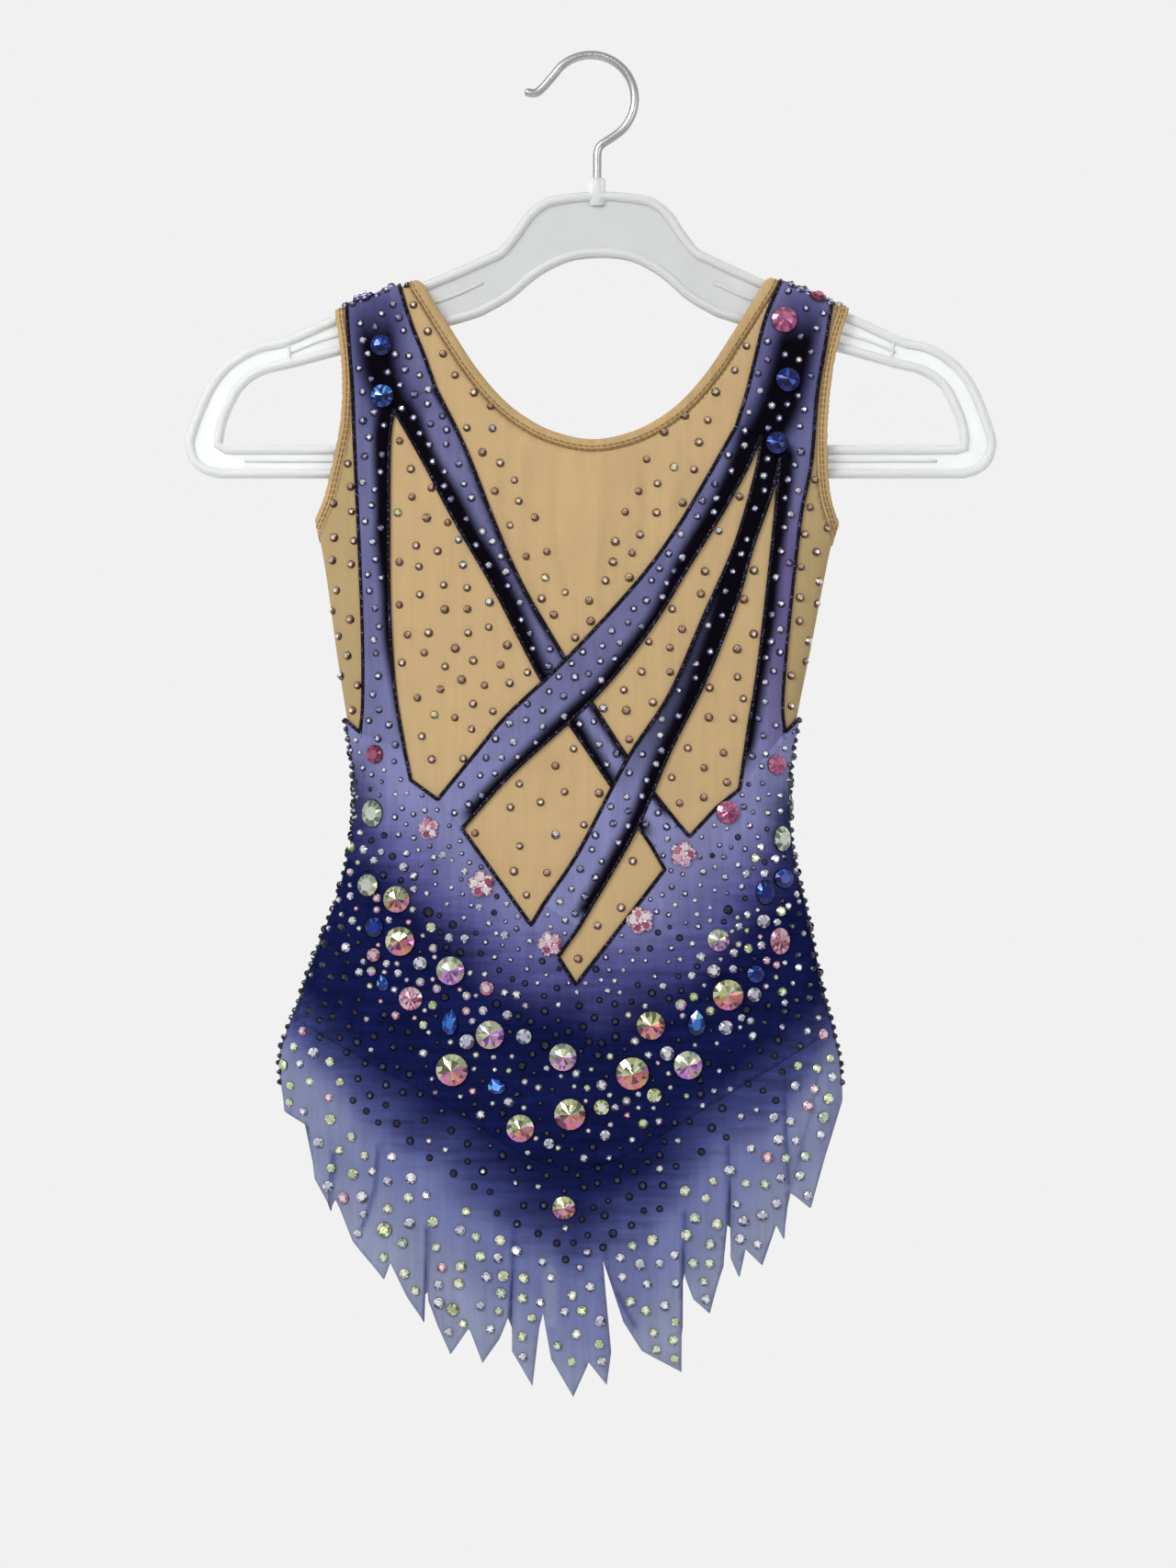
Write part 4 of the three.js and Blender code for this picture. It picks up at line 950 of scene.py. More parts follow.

# %% The colours of the body and the skirt, with painted shade in the creases


def body_dye_and_crease_shade(points):
    """The dyed colour of the body and the skirt at points of the front view, with painted shade along the
    skirt's creases.
    """
    x, z = points[:, 0], points[:, 1] + brushed(points)
    below_top = height_on(NAVY_TOP, x) - z
    below_low = height_on(NAVY_LOW, x) - z
    side = smoothstep(np.abs(x + 9), 76, 93) * smoothstep(-z, 296, 325)
    colour = mix(LILAC, DEEP_VIOLET, smoothstep(below_top, -46, -4))
    colour = mix(colour, NAVY, np.maximum(smoothstep(below_top, -17, 17), 0.8 * side))
    outer = smoothstep(np.abs(x + 9), 70, 108)
    pale = np.maximum(smoothstep(below_low, 22, 66), 0.6 * outer * smoothstep(below_low, 2, 30))
    colour = mix(colour, DUSK_BLUE, smoothstep(below_low, -24, 4))
    colour = mix(colour, MIST_BLUE, smoothstep(below_low, -4, 24))
    colour = mix(colour, PALE, pale)
    strip = away(points, PALE_STRIP)
    colour = mix(colour, PALE, 0.6 * (1 - smoothstep(strip, 1.6, 3.8)))
    # painted shade along the skirt's creases, where one point lies over the next
    for line in SKIRT_CREASES:
        colour = mix(colour, DUSK_BLUE, 0.75 * np.exp(-(away(points, line) / 1.1) ** 2))
    return colour


print("The body in the middle of the dark zone:", body_dye_and_crease_shade(np.array([(0.0, -460.0)]))[0].round(3))

# %% [markdown]
# ## Cutting cloth
#
# A grid trimmed with a boolean would leave ragged slivers along every edge. Here a piece is
# cut in the plan: its outlines go in as fixed edges, even points fill the inside, and a
# triangulation joins them all. Triangles outside the piece are left out.

# %% Fill an outline


def triangulated(lines, fill=()):
    """Points and triangles that fill the plane, with closed lines as fixed edges."""
    points = list(map(tuple, fill))
    edges = []
    for line in lines:
        first = len(points)
        points.extend(map(tuple, line))
        edges.extend((first + i, first + (i + 1) % len(line)) for i in range(len(line)))
    made, _, faces, *_ = delaunay_2d_cdt([Vector(p) for p in points], edges, [], 0, 1e-3)
    return np.array([(p.x, p.y) for p in made]), np.array([face for face in faces if len(face) == 3])


def even_points(low, high, spacing, seed):
    """Points in staggered rows, a little out of line, so that no pattern shows."""
    rng = np.random.default_rng(seed)
    rows = np.arange(low[1], high[1], spacing * 0.87)
    grid = []
    for number, v in enumerate(rows):
        u = np.arange(low[0] + (number % 2) * spacing / 2, high[0], spacing)
        grid.append(np.column_stack([u, np.full(len(u), v)]))
    grid = np.vstack(grid)
    return grid + rng.uniform(-0.12, 0.12, grid.shape) * spacing


print("Points in a square of 20 mm:", len(even_points((0, 0), (20, 20), 2.6, 7)))

# %% Cut a flat piece


def shell_outline(low):
    """The whole shell in the plan, from its top edge down to a height."""
    u = np.linspace(-PLAN_EDGE, PLAN_EDGE, 120)
    top = arm_top(shoulder_x(u / PLAN_RADIUS)) + SEAT - SHOULDER_ROUND + SHOULDER_ARC
    return np.vstack([np.column_stack([u, top]), [(PLAN_EDGE, low), (-PLAN_EDGE, low)]])


def cut_flat(keep, leave, spacing, brief=False, creases=()):
    """Points and triangles in the plan that are inside all of keep and outside all of leave.

    The points lie closer together along creases, so that a sharp crease can be raised there."""
    low = CROTCH_START - CROTCH_ARC if brief else HEM_Z
    keep = [shell_outline(low)] + [to_plan(dense(outline), brief) for outline in keep]
    leave = [to_plan(dense(outline), brief) for outline in leave]
    lines = [dense(keep[0], spacing)] + keep[1:] + leave
    low_corner = np.max([line.min(axis=0) for line in keep], axis=0)
    high_corner = np.min([line.max(axis=0) for line in keep], axis=0)
    fill = even_points(low_corner, high_corner, spacing, 7)

    def wanted(points):
        good = np.ones(len(points), bool)
        for line in keep:
            good &= inside(points, line)
        for line in leave:
            good &= ~inside(points, line)
        return good

    for crease in creases:
        middle = to_plan(dense(crease, 1.1, closed=False))
        fill = fill[away(fill, middle) > 3.2]
        fill = np.vstack([fill] + [beside(middle, shift) for shift in (-2.2, -1.1, 0, 1.1, 2.2)])
    fill = fill[wanted(fill)]
    for line in lines:
        fill = fill[away(fill, line, closed=True) > 0.45 * spacing]
    made, faces = triangulated(lines, fill)
    a, b, c = (made[faces[:, k]] for k in range(3))
    area = np.abs((b[:, 0] - a[:, 0]) * (c[:, 1] - a[:, 1]) - (b[:, 1] - a[:, 1]) * (c[:, 0] - a[:, 0]))
    faces = faces[wanted((a + b + c) / 3) & (area > 1e-4)]
    used, faces = np.unique(faces, return_inverse=True)
    return made[used], faces.reshape(-1, 3)


print("Cutting helper ready")

# %% [markdown]
# ## From a cut to a piece of cloth
#
# Cloth has two faces and an edge. A solidify modifier could give it thickness, but not one
# that thins towards a seam. So the flat triangles are lifted on to the shell twice, for the
# outer and the inner face, each at its own level, and a rim closes the edge.

# %% Meshes, paint and areas


def outer_edges(faces):
    """The edges that belong to one triangle only, each in that triangle's direction."""
    edges = np.vstack([faces[:, [0, 1]], faces[:, [1, 2]], faces[:, [2, 0]]])
    both = np.sort(edges, axis=1)
    _, where, count = np.unique(both, axis=0, return_inverse=True, return_counts=True)
    return edges[count[where.ravel()] == 1]


def mesh_object(name, points, faces, material, smooth=True):
    """A mesh object on the body, from points in millimetres."""
    mesh = bpy.data.meshes.new(name)
    mesh.from_pydata((np.asarray(points) * MM).tolist(), [], [tuple(map(int, f)) for f in faces])
    mesh.validate()
    mesh.polygons.foreach_set("use_smooth", [smooth] * len(mesh.polygons))
    mesh.materials.append(material)
    piece = bpy.data.objects.new(name, mesh)
    bpy.context.scene.collection.objects.link(piece)
    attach(piece, "root")
    return piece


def paint(piece, name, colours, domain="POINT"):
    """A colour for each mesh point, or each corner of a face, that the material reads."""
    layer = piece.data.attributes.new(name, "FLOAT_COLOR", domain)
    full = np.ones((len(colours), 4), np.float32)
    full[:, :3] = colours
    layer.data.foreach_set("color", full.ravel())


def surface_area(points, faces):
    a, b, c = (points[faces[:, k]] for k in range(3))
    return float(np.linalg.norm(np.cross(b - a, c - a), axis=1).sum() / 2)


print("Mesh helpers ready")

# %% Sew a piece


def sew(name, side, plan, faces, levels, material, dye=None, brief=False):
    """A piece of cloth with an outer and an inner level, which may differ from point to point."""
    lift = relief(side, plan) if not brief else np.zeros(len(plan))
    inner, outer = (on_shell(side, plan, np.broadcast_to(level, len(plan)) + lift, brief) for level in levels)
    count = len(plan)
    normal = np.cross(outer[faces[:, 1]] - outer[faces[:, 0]], outer[faces[:, 2]] - outer[faces[:, 0]])
    if normal[:, 1].sum() * side < 0:
        faces = faces[:, ::-1]
    rim = outer_edges(faces)
    sides = np.column_stack([rim[:, 1], rim[:, 0], rim[:, 0] + count, rim[:, 1] + count])
    all_faces = faces.tolist() + (faces[:, ::-1] + count).tolist() + sides.tolist()
    piece = mesh_object(name, np.vstack([outer, inner]), all_faces, material)
    if dye is not None:
        colours = dye(on_shell(side, plan, 0.0)[:, [0, 2]])
        paint(piece, "dye", np.vstack([colours, colours]))
    smooth = np.ones(len(all_faces), bool)
    smooth[-len(sides):] = False
    piece.data.polygons.foreach_set("use_smooth", smooth)
    piece["cut_area_mm2"] = surface_area(outer, faces)
    print(f"{name}: {len(all_faces)} faces, {piece['cut_area_mm2']:.0f} mm2")
    return piece


print("Sewing helper ready")

# %% [markdown]
# ## The solids behind the cloth
#
# Each piece of cloth stands where a solid of the frame is, and that solid is hidden. The area
# of each cut is measured from its mesh when it is sewn.


def declare_cloth(node):
    """The solid that the piece stands for is hidden."""
    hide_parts(node)


# %% [markdown]
# ## The yokes
#
# The yoke is the nude stretch mesh under everything else. A piece of mesh in each window
# would look the same from in front, but the real one is whole. It stops where the tape
# begins, and at the back it ends under the body.

# %% Front and back yoke
YOKE_LEVELS = (-1.0, 0.0)
CLOTH_STEP = 2.6


def tape_edges(side):
    return [neck_outline(side, NECK_TAPE), armhole_outline(side, LEFT_ARMHOLE, ARMHOLE_TAPE),
            armhole_outline(side, RIGHT_ARMHOLE, ARMHOLE_TAPE)]


back_yoke_line = [(x, z - 12) for x, z in BACK_BODY_TOP]
for side, name, low_edge in ((FRONT, "front", YOKE_BOTTOM), (BACK, "back", back_yoke_line)):
    plan, faces = cut_flat([above(low_edge)], tape_edges(side), CLOTH_STEP)
    yoke = sew(f"yoke_{name}", side, plan, faces, YOKE_LEVELS, nude_mesh, nude_colour_and_painted_shade)
    declare_cloth(f"{name}_yoke")

# %% [markdown]
# ## Free edges and laps
#
# The bands, the body and the skirt lie on the yoke. Near a free edge the cloth is drawn down
# by its cord, so its outer level falls off there. A bevel would round every edge alike. This
# way the edge rounds only where a cord is sewn, and a band laps flat under the body.

# %% Lines that carry a cord
OVER_LINES = [  # outlines that lie over lines, and those lines
    ([], [LEFT_SIDE_OUTER, LEFT_STRAP_INNER, LEFT_SIDE_INNER]),
    ([], [RIGHT_SIDE_OUTER, RIGHT_STRAP_INNER, RIGHT_SIDE_INNER]),
    ([right_side], [RIGHT_CROSS_LOW, RIGHT_CROSS_HIGH]),
    ([right_side, right_cross], [CENTRE_RIGHT, CENTRE_LEFT]),
    ([left_side, right_cross, centre], [LEFT_CROSS_LOW, LEFT_CROSS_HIGH]),
]
CORD_LINES = [(curve(line), over) for over, lines in OVER_LINES for line in lines]
CORD_LINES += [(np.array(line, float), []) for line in BODY_WINDOWS + [BODY_LEFT_TOP, BODY_RIGHT_TOP]]


def free_runs(line, over):
    """The parts of a line that are on the shell and that no other band covers."""
    points = dense(line, 0.8, closed=False)
    covered = np.abs(to_plan(points)[:, 0]) > PLAN_EDGE - 0.5
    covered |= points[:, 1] > arm_top(points[:, 0]) + SEAT
    for outline in over:
        covered |= inside(points, outline)
    runs, run = [], []
    for point, hidden in zip(points, covered):
        if hidden:
            if len(run) > 3:
                runs.append(np.array(run))
            run = []
        else:
            run.append(point)
    return runs + ([np.array(run)] if len(run) > 3 else [])


cord_runs = [run for line, over in CORD_LINES for run in free_runs(line, over)]
print("Runs of cord:", len(cord_runs))

# %% Levels and laps
BAND_INNER, BAND_OUTER, BAND_EDGE = 0.3, 1.35, 0.75
SEAM_LAP, SEAM_TAPER, SEAM_DROP = 2.0, 5.0, 0.3  # a lap, and how far and how much the cloth thins there


def crowned(plan):
    """The outer level of a dyed piece, lower beside the cords."""
    near = away_from_all(plan, [to_plan(run[::3]) for run in cord_runs])
    return BAND_EDGE + (BAND_OUTER - BAND_EDGE) * (1 - np.exp(-near / 1.6))


def lapped(outline, line):
    """A band's outline, made longer beyond the line where the band goes under the body."""
    start, end = np.array(line, float)
    along = (end - start) / np.linalg.norm(end - start)
    down = np.array((along[1], -along[0])) * (1 if along[0] > 0 else -1)
    i = int(np.argmin(np.linalg.norm(outline - start, axis=1)))
    j = int(np.argmin(np.linalg.norm(outline - end, axis=1)))
    corners = [start + along + down * SEAM_LAP, end - along + down * SEAM_LAP]
    if (i + 1) % len(outline) == j:
        return np.insert(outline, i + 1, corners, axis=0)
    return np.insert(outline, j + 1, corners[::-1], axis=0)


def near_ends(plan):
    """One at the lines where bands run into the body, falling to zero beside them."""
    near = away_from_all(plan, [to_plan(dense(line, 2, closed=False)) for line in JUNCTIONS])
    return 1 - smoothstep(near, 0, SEAM_TAPER)


def finish_band(name, node, plan, faces, dye):
    """One band or length of a band, from its cut to its piece of cloth."""
    level = crowned(plan) - (SEAM_DROP + 0.03) * near_ends(plan)
    piece = sew(name, FRONT, plan, faces, (BAND_INNER - 0.15, level), dyed_cloth, dye)
    declare_cloth(node)


print("A band is", BAND_OUTER - BAND_INNER, "mm thick")

# %% [markdown]
# ## The bands in cloth
#
# Each band is cut from its two edges, less the bands that lie over it. The left cross band
# comes out as three lengths between its crossings. They could be cut by three outlines, but
# one cut that is split into its connected parts leaves the same gap everywhere.

# %% Bands in one piece
band_cuts = {
    "side_band_left": (lapped(left_side, JUNCTIONS[0]), [], "band_left_side"),
    "side_band_right": (lapped(right_side, JUNCTIONS[4]), [], "band_right_side"),
    "cross_band_right": (lapped(right_cross, JUNCTIONS[1]), [right_side], "band_right_cross"),
    "centre_band": (lapped(centre, JUNCTIONS[2]), [right_side, right_cross], "band_centre"),
}
for name, (outline, leave, node) in band_cuts.items():
    plan, faces = cut_flat([outline], leave + tape_edges(FRONT), CLOTH_STEP * 0.7)
    finish_band(name, node, plan, faces, band_dye(name))

# %% The left cross band, in three lengths
CROSS_LENGTHS = {  # each length from the top down, and its solid
    "cross_band_left_upper": "band_left_cross_upper",
    "cross_band_left_middle": "band_left_cross_middle",
    "cross_band_left_lower": "band_left_cross_lower",
}
plan, faces = cut_flat([lapped(left_cross, JUNCTIONS[3])], [left_side, right_cross, centre],
                       CLOTH_STEP * 0.7)


def islands(count, faces):
    """A number for each point that tells which connected part it is in."""
    label = np.arange(count)
    while True:
        low = label[faces].min(axis=1)
        before = label.copy()
        for k in range(3):
            np.minimum.at(label, faces[:, k], low)
        if (label == before).all():
            return label


label = islands(len(plan), faces)
parts = sorted(np.unique(label[faces[:, 0]]), key=lambda part: -plan[label == part, 1].mean())
for (name, node), part in zip(CROSS_LENGTHS.items(), parts):
    chosen = faces[label[faces[:, 0]] == part]
    used, chosen = np.unique(chosen, return_inverse=True)
    finish_band(name, node, plan[used], chosen.reshape(-1, 3), band_dye("cross_band_left"))
print("Lengths of the left cross band:", len(parts))

# %% [markdown]
# ## Body and skirt
#
# The body is stretch cloth from the bands' ends to the V seam, and the skirt is one layer of
# sheer mesh sewn under its edge. They could be one piece, because the dye runs across, but a
# maker cuts them apart. The skirt laps under the body by 2 mm, flush with it, so only a
# faint line shows. Points lie closer along its creases, to keep them sharp.

# %% Body and skirt
seam = curve(SKIRT_SEAM)
seam_plan = to_plan(seam)


def below(line):
    return joined(line, [(125, -640), (-150, -640)])


for side, name in SIDES:
    top_edge = body_edge if side == FRONT else curve(BACK_BODY_TOP)
    under = joined(top_edge, [(130, -560), (-140, -560)])
    plan, faces = cut_flat([under], [below(seam)] + (BANDS if side == FRONT else []), CLOTH_STEP)
    level = crowned(plan) - SEAM_DROP * near_ends(plan) if side == FRONT else BAND_OUTER
    body = sew(f"body_{name}", side, plan, faces, (BAND_INNER, level), body_cloth, body_dye_and_crease_shade)
    declare_cloth(f"{name}_body")
    hem = FRONT_HEM if side == FRONT else BACK_HEM
    plan, faces = cut_flat([above(hem, -380), below(seam + (0, SEAM_LAP))], [], CLOTH_STEP * 0.9,
                           creases=[seam] + (SKIRT_CREASES if side == FRONT else []))
    from_seam = away(plan, seam_plan)
    lap = inside(plan, above(seam_plan, 0))
    thin = BAND_OUTER - 0.02 - np.where(lap, SEAM_DROP * np.minimum(from_seam, 1),
                                        0.5 * smoothstep(from_seam, SEAM_TAPER, 70))
    skirt = sew(f"skirt_{name}", side, plan, faces, (BAND_INNER - 0.15, thin), dyed_skirt, body_dye_and_crease_shade)
    declare_cloth(f"{name}_skirt")

# %% [markdown]
# ## The brief
#
# A skating dress is a leotard with a skirt, so a brief is sewn inside. It shows only from
# below, but without it the dress would be an open tube. Its halves meet in a rounded
# crotch, where the plan is bent under, as at the shoulders.

# %% Brief
BRIEF_LEVELS = (-1.5, -0.3)
for side, name in SIDES:
    plan, faces = cut_flat([BRIEF], [], CLOTH_STEP * 1.3, brief=True)
    brief = sew(f"brief_{name}", side, plan, faces, BRIEF_LEVELS, brief_cloth, brief=True)
    declare_cloth(f"{name}_brief")

# %% [markdown]
# ## Sweeping cords and stitches
#
# Cords, wire and rims are all a round or oval section carried along a line. Curve objects
# with a bevel do this too, but they twist freely. This helper turns the section so that it
# stands square to the line and keeps its flat side on the cloth.

# %% Sweep a section along a line


def sweep(line, normal, wide, tall, sides=8, closed=False):
    """Points and faces of a tube along a line. Wide and tall are its two radii."""
    line = np.asarray(line, float)
    along = np.gradient(line, axis=0)
    if closed:
        along = np.roll(line, -1, axis=0) - np.roll(line, 1, axis=0)
    along /= np.linalg.norm(along, axis=1)[:, None]
    normal = normal - (normal * along).sum(axis=1)[:, None] * along
    normal /= np.linalg.norm(normal, axis=1)[:, None]
    across = np.cross(along, normal)
    count = len(line)
    turn = np.linspace(0, 2 * math.pi, sides, endpoint=False)
    wide = np.broadcast_to(wide, count)[:, None, None]
    tall = np.broadcast_to(tall, count)[:, None, None]
    ring = (across[:, None, :] * np.cos(turn)[None, :, None] * wide
            + normal[:, None, :] * np.sin(turn)[None, :, None] * tall)
    points = (line[:, None, :] + ring).reshape(-1, 3)
    faces = []
    for i in range(count if closed else count - 1):
        j = (i + 1) % count
        for k in range(sides):
            m = (k + 1) % sides
            faces.append((i * sides + k, i * sides + m, j * sides + m, j * sides + k))
    if not closed:
        faces.append(tuple(range(sides))[::-1])
        faces.append(tuple((count - 1) * sides + k for k in range(sides)))
    return points, faces


def upright_sweep(line, wide, tall, sides, closed=False):
    """A tube along a line of the front view, in the middle plane of the hanger."""
    place = np.column_stack([line[:, 0], np.zeros(len(line)), line[:, 1]])
    return sweep(place, np.tile((0.0, -1.0, 0.0), (len(line), 1)), wide, tall, sides, closed)


print("A short tube has", len(upright_sweep(np.array([(0.0, 0.0), (0.0, 9.0)]), 1, 1, 8)[1]), "faces")

# %% Put lines on the cloth


def gather(parts):
    """Several meshes as one list of points and one of faces."""
    points, faces, start = [], [], 0
    for own_points, own_faces in parts:
        points.append(own_points)
        faces.extend(tuple(i + start for i in face) for face in own_faces)
        start += len(own_points)
    return np.vstack(points), faces


def on_cloth(side, line, level):
    """A line of the front view on the cloth, and the cloth's outward direction along it."""
    plan = to_plan(line)
    lift = relief(side, plan)
    low = on_shell(side, plan, level + lift)
    step = on_shell(side, plan + (0.4, 0), level + lift) - on_shell(side, plan - (0.4, 0), level + lift)
    rise = on_shell(side, plan + (0, 0.4), level + lift) - on_shell(side, plan - (0, 0.4), level + lift)
    out = np.cross(step, rise) * (1 if side == FRONT else -1)
    size = np.linalg.norm(out, axis=1)[:, None]
    out = np.where(size > 1e-6, out / np.maximum(size, 1e-6), np.array((0, side, 0)))
    return low, out


print("The cloth at the waist faces", on_cloth(FRONT, [(0.0, -320.0)], 0.0)[1][0].round(2))

# %% [markdown]
# ## The cords
#
# A black cord is sewn along every edge of the bands and windows. It could be a dark line in
# the dye, but the real cord stands up and catches light, so it is a thin tube, a little
# flattened, wherever an edge isn't covered by another band.

# %% Cords along the bands
CORD_RADIUS = 0.8
FRONT_CORD_LEVEL, BACK_CORD_LEVEL = 1.0, 1.25
cords = []
for side, level, runs in ((FRONT, FRONT_CORD_LEVEL, cord_runs),
                          (BACK, BACK_CORD_LEVEL, free_runs(curve(BACK_BODY_TOP), []))):
    for run in runs:
        middle, out = on_cloth(side, run, level)
        cords.append(sweep(middle, out, CORD_RADIUS, CORD_RADIUS * 0.8))
points, faces = gather(cords)
cord_piece = mesh_object("edge_cords", points, faces, glitter_cord)
print("Cords:", len(cords), "with", len(faces), "faces")

# %% [markdown]
# ## The tape on the neck and armholes
#
# The openings are bound with a soft tape, folded over the edge of the mesh and sewn down
# with two rows of stitches. A swept tube would stand off the shoulders, so the tape is cut
# like cloth and rounded towards both edges. The stitches could be bump, but as short pieces
# of thread they catch the light like the real ones.

# %% Tape
TAPE_INNER, TAPE_FLAT, TAPE_ROUND = -1.2, 0.55, 1.1


def rounded(plan, edges):
    near = away_from_all(plan, [to_plan(edge) for edge in edges])
    return TAPE_FLAT - TAPE_ROUND * (1 - np.minimum(near / 1.5, 1)) ** 2


def tape_piece(name, node, side, opening, wide_opening, edges):
    plan, faces = cut_flat([wide_opening], [opening], 1.5)
    piece = sew(name, side, plan, faces, (TAPE_INNER, rounded(plan, edges)), tape_cloth)
    declare_cloth(node)


def stitches(side, line, length=2.1, gap=0.55):
    """Short threads in a row along a line."""
    steps = np.r_[0, np.cumsum(np.linalg.norm(np.diff(line, axis=0), axis=1))]
    parts = []
    for start in np.arange(0.6, steps[-1] - length, length + gap):
        at = start + np.linspace(0, length, 4)
        piece = np.column_stack([np.interp(at, steps, line[:, k]) for k in range(2)])
        middle, out = on_cloth(side, piece, TAPE_FLAT + 0.05)
        bow = np.array((-0.15, 0.12, 0.12, -0.15))[:, None] * out
        parts.append(sweep(middle + bow, out, 0.28, 0.25, sides=5))
    return parts


print("Tape stands", TAPE_FLAT, "mm proud of the mesh")

# %% Bind the openings
NECK_STITCHES, ARMHOLE_STITCHES = (4.6, 3.2), (4.2, 2.9)  # how far the rows lie from the edge
threads = []
for side, name in SIDES:
    neck = neck_line(side)
    tape_piece(f"neck_tape_{name}", f"neck_binding_{name}", side, neck_outline(side),
               neck_outline(side, NECK_TAPE), [neck, beside(neck, -NECK_TAPE)])
    for inset in NECK_STITCHES:
        threads += stitches(side, beside(neck, -inset))
    for hand, table in (("left", LEFT_ARMHOLE), ("right", RIGHT_ARMHOLE)):
        edge = armhole_line(side, table)
        sign = np.sign(table[0][0])
        tape_piece(f"armhole_tape_{hand}_{name}", f"armhole_binding_{hand}_{name}", side,
                   armhole_outline(side, table), armhole_outline(side, table, ARMHOLE_TAPE),
                   [edge, beside(edge, -sign * ARMHOLE_TAPE)])
        for inset in ARMHOLE_STITCHES:
            threads += stitches(side, beside(edge, -sign * inset))
points, faces = gather(threads)
thread_piece = mesh_object("tape_stitches", points, faces, stitch_thread)
print("Stitches:", len(threads))

# %% [markdown]
# ## Shapes of the stones
#
# Five cuts cover all the stones. A pointed stone has facets that rise to a tip. A flat one
# has a table with a ring of facets, and a fine one has more of them. A drop is a flat stone
# pulled to one end. A flower is five petals around a small middle. Each is made once at a
# width of one. Many linked objects are slow to handle, so the copies are joined into a few
# large meshes.

# %% Cuts


def ring(radius, height, count, turn=0.0, pull=0.0):
    angle = np.linspace(0, 2 * math.pi, count, endpoint=False) + turn
    stretch = 1 + pull * np.maximum(np.sin(angle), 0) ** 3
    return np.column_stack([radius * np.cos(angle), radius * np.sin(angle) * stretch,
                            np.full(count, height)])


def pointed_cut(sides=14):
    """A tip, two rings of facets and a low rim."""
    points = np.vstack([[(0, 0, 0.30)], ring(0.30, 0.20, sides, math.pi / sides),
                        ring(0.48, 0.09, sides), ring(0.5, 0.0, sides)])
    faces = []
    for i in range(sides):
        j = (i + 1) % sides
        inner, outer, rim = 1, 1 + sides, 1 + 2 * sides
        faces.append((0, inner + i, inner + j))
        faces.append((outer + j, inner + i, outer + i))
        faces.append((outer + j, inner + j, inner + i))
        faces.append((rim + i, rim + j, outer + j, outer + i))
    return points, faces


def flat_cut(sides=8, table=0.24, girdle=0.46, pull=0.0):
    """A table, a ring of facets, and a low setting around them."""
    points = np.vstack([ring(table, 0.28, sides, math.pi / sides, pull), ring(girdle, 0.12, sides, 0, pull),
                        ring(0.5, 0.0, sides, 0, pull)])
    faces = [tuple(range(sides))]
    for i in range(sides):
        j = (i + 1) % sides
        faces.append((sides + j, i, sides + i))
        faces.append((sides + j, j, i))
        faces.append((2 * sides + i, 2 * sides + j, sides + j, sides + i))
    return points, faces


def flower_cut(petals=5):
    """Round petals set close around a small round middle."""
    petal_points, petal_faces = flat_cut(8, 0.26, 0.46)
    points, faces = [], []
    places = [(0, 0, 0.10, 0.32)]
    for k in range(petals):
        angle = 2 * math.pi * k / petals
        places.append((0.27 * math.sin(angle), 0.27 * math.cos(angle), 0.0, 0.52))
    for x, y, z, size in places:
        faces += [tuple(i + len(points) * len(petal_points) for i in face) for face in petal_faces]
        points.append(petal_points * (size, size, size * 1.3) + (x, y, z))
    return np.vstack(points), faces


CUTS = {"pointed": pointed_cut(16), "flat": flat_cut(8, 0.19, 0.385), "fine": flat_cut(12, 0.24),
        "drop": flat_cut(8, 0.22, pull=0.45), "flower": flower_cut(5)}
print("Facets of a pointed stone:", len(CUTS["pointed"][1]))
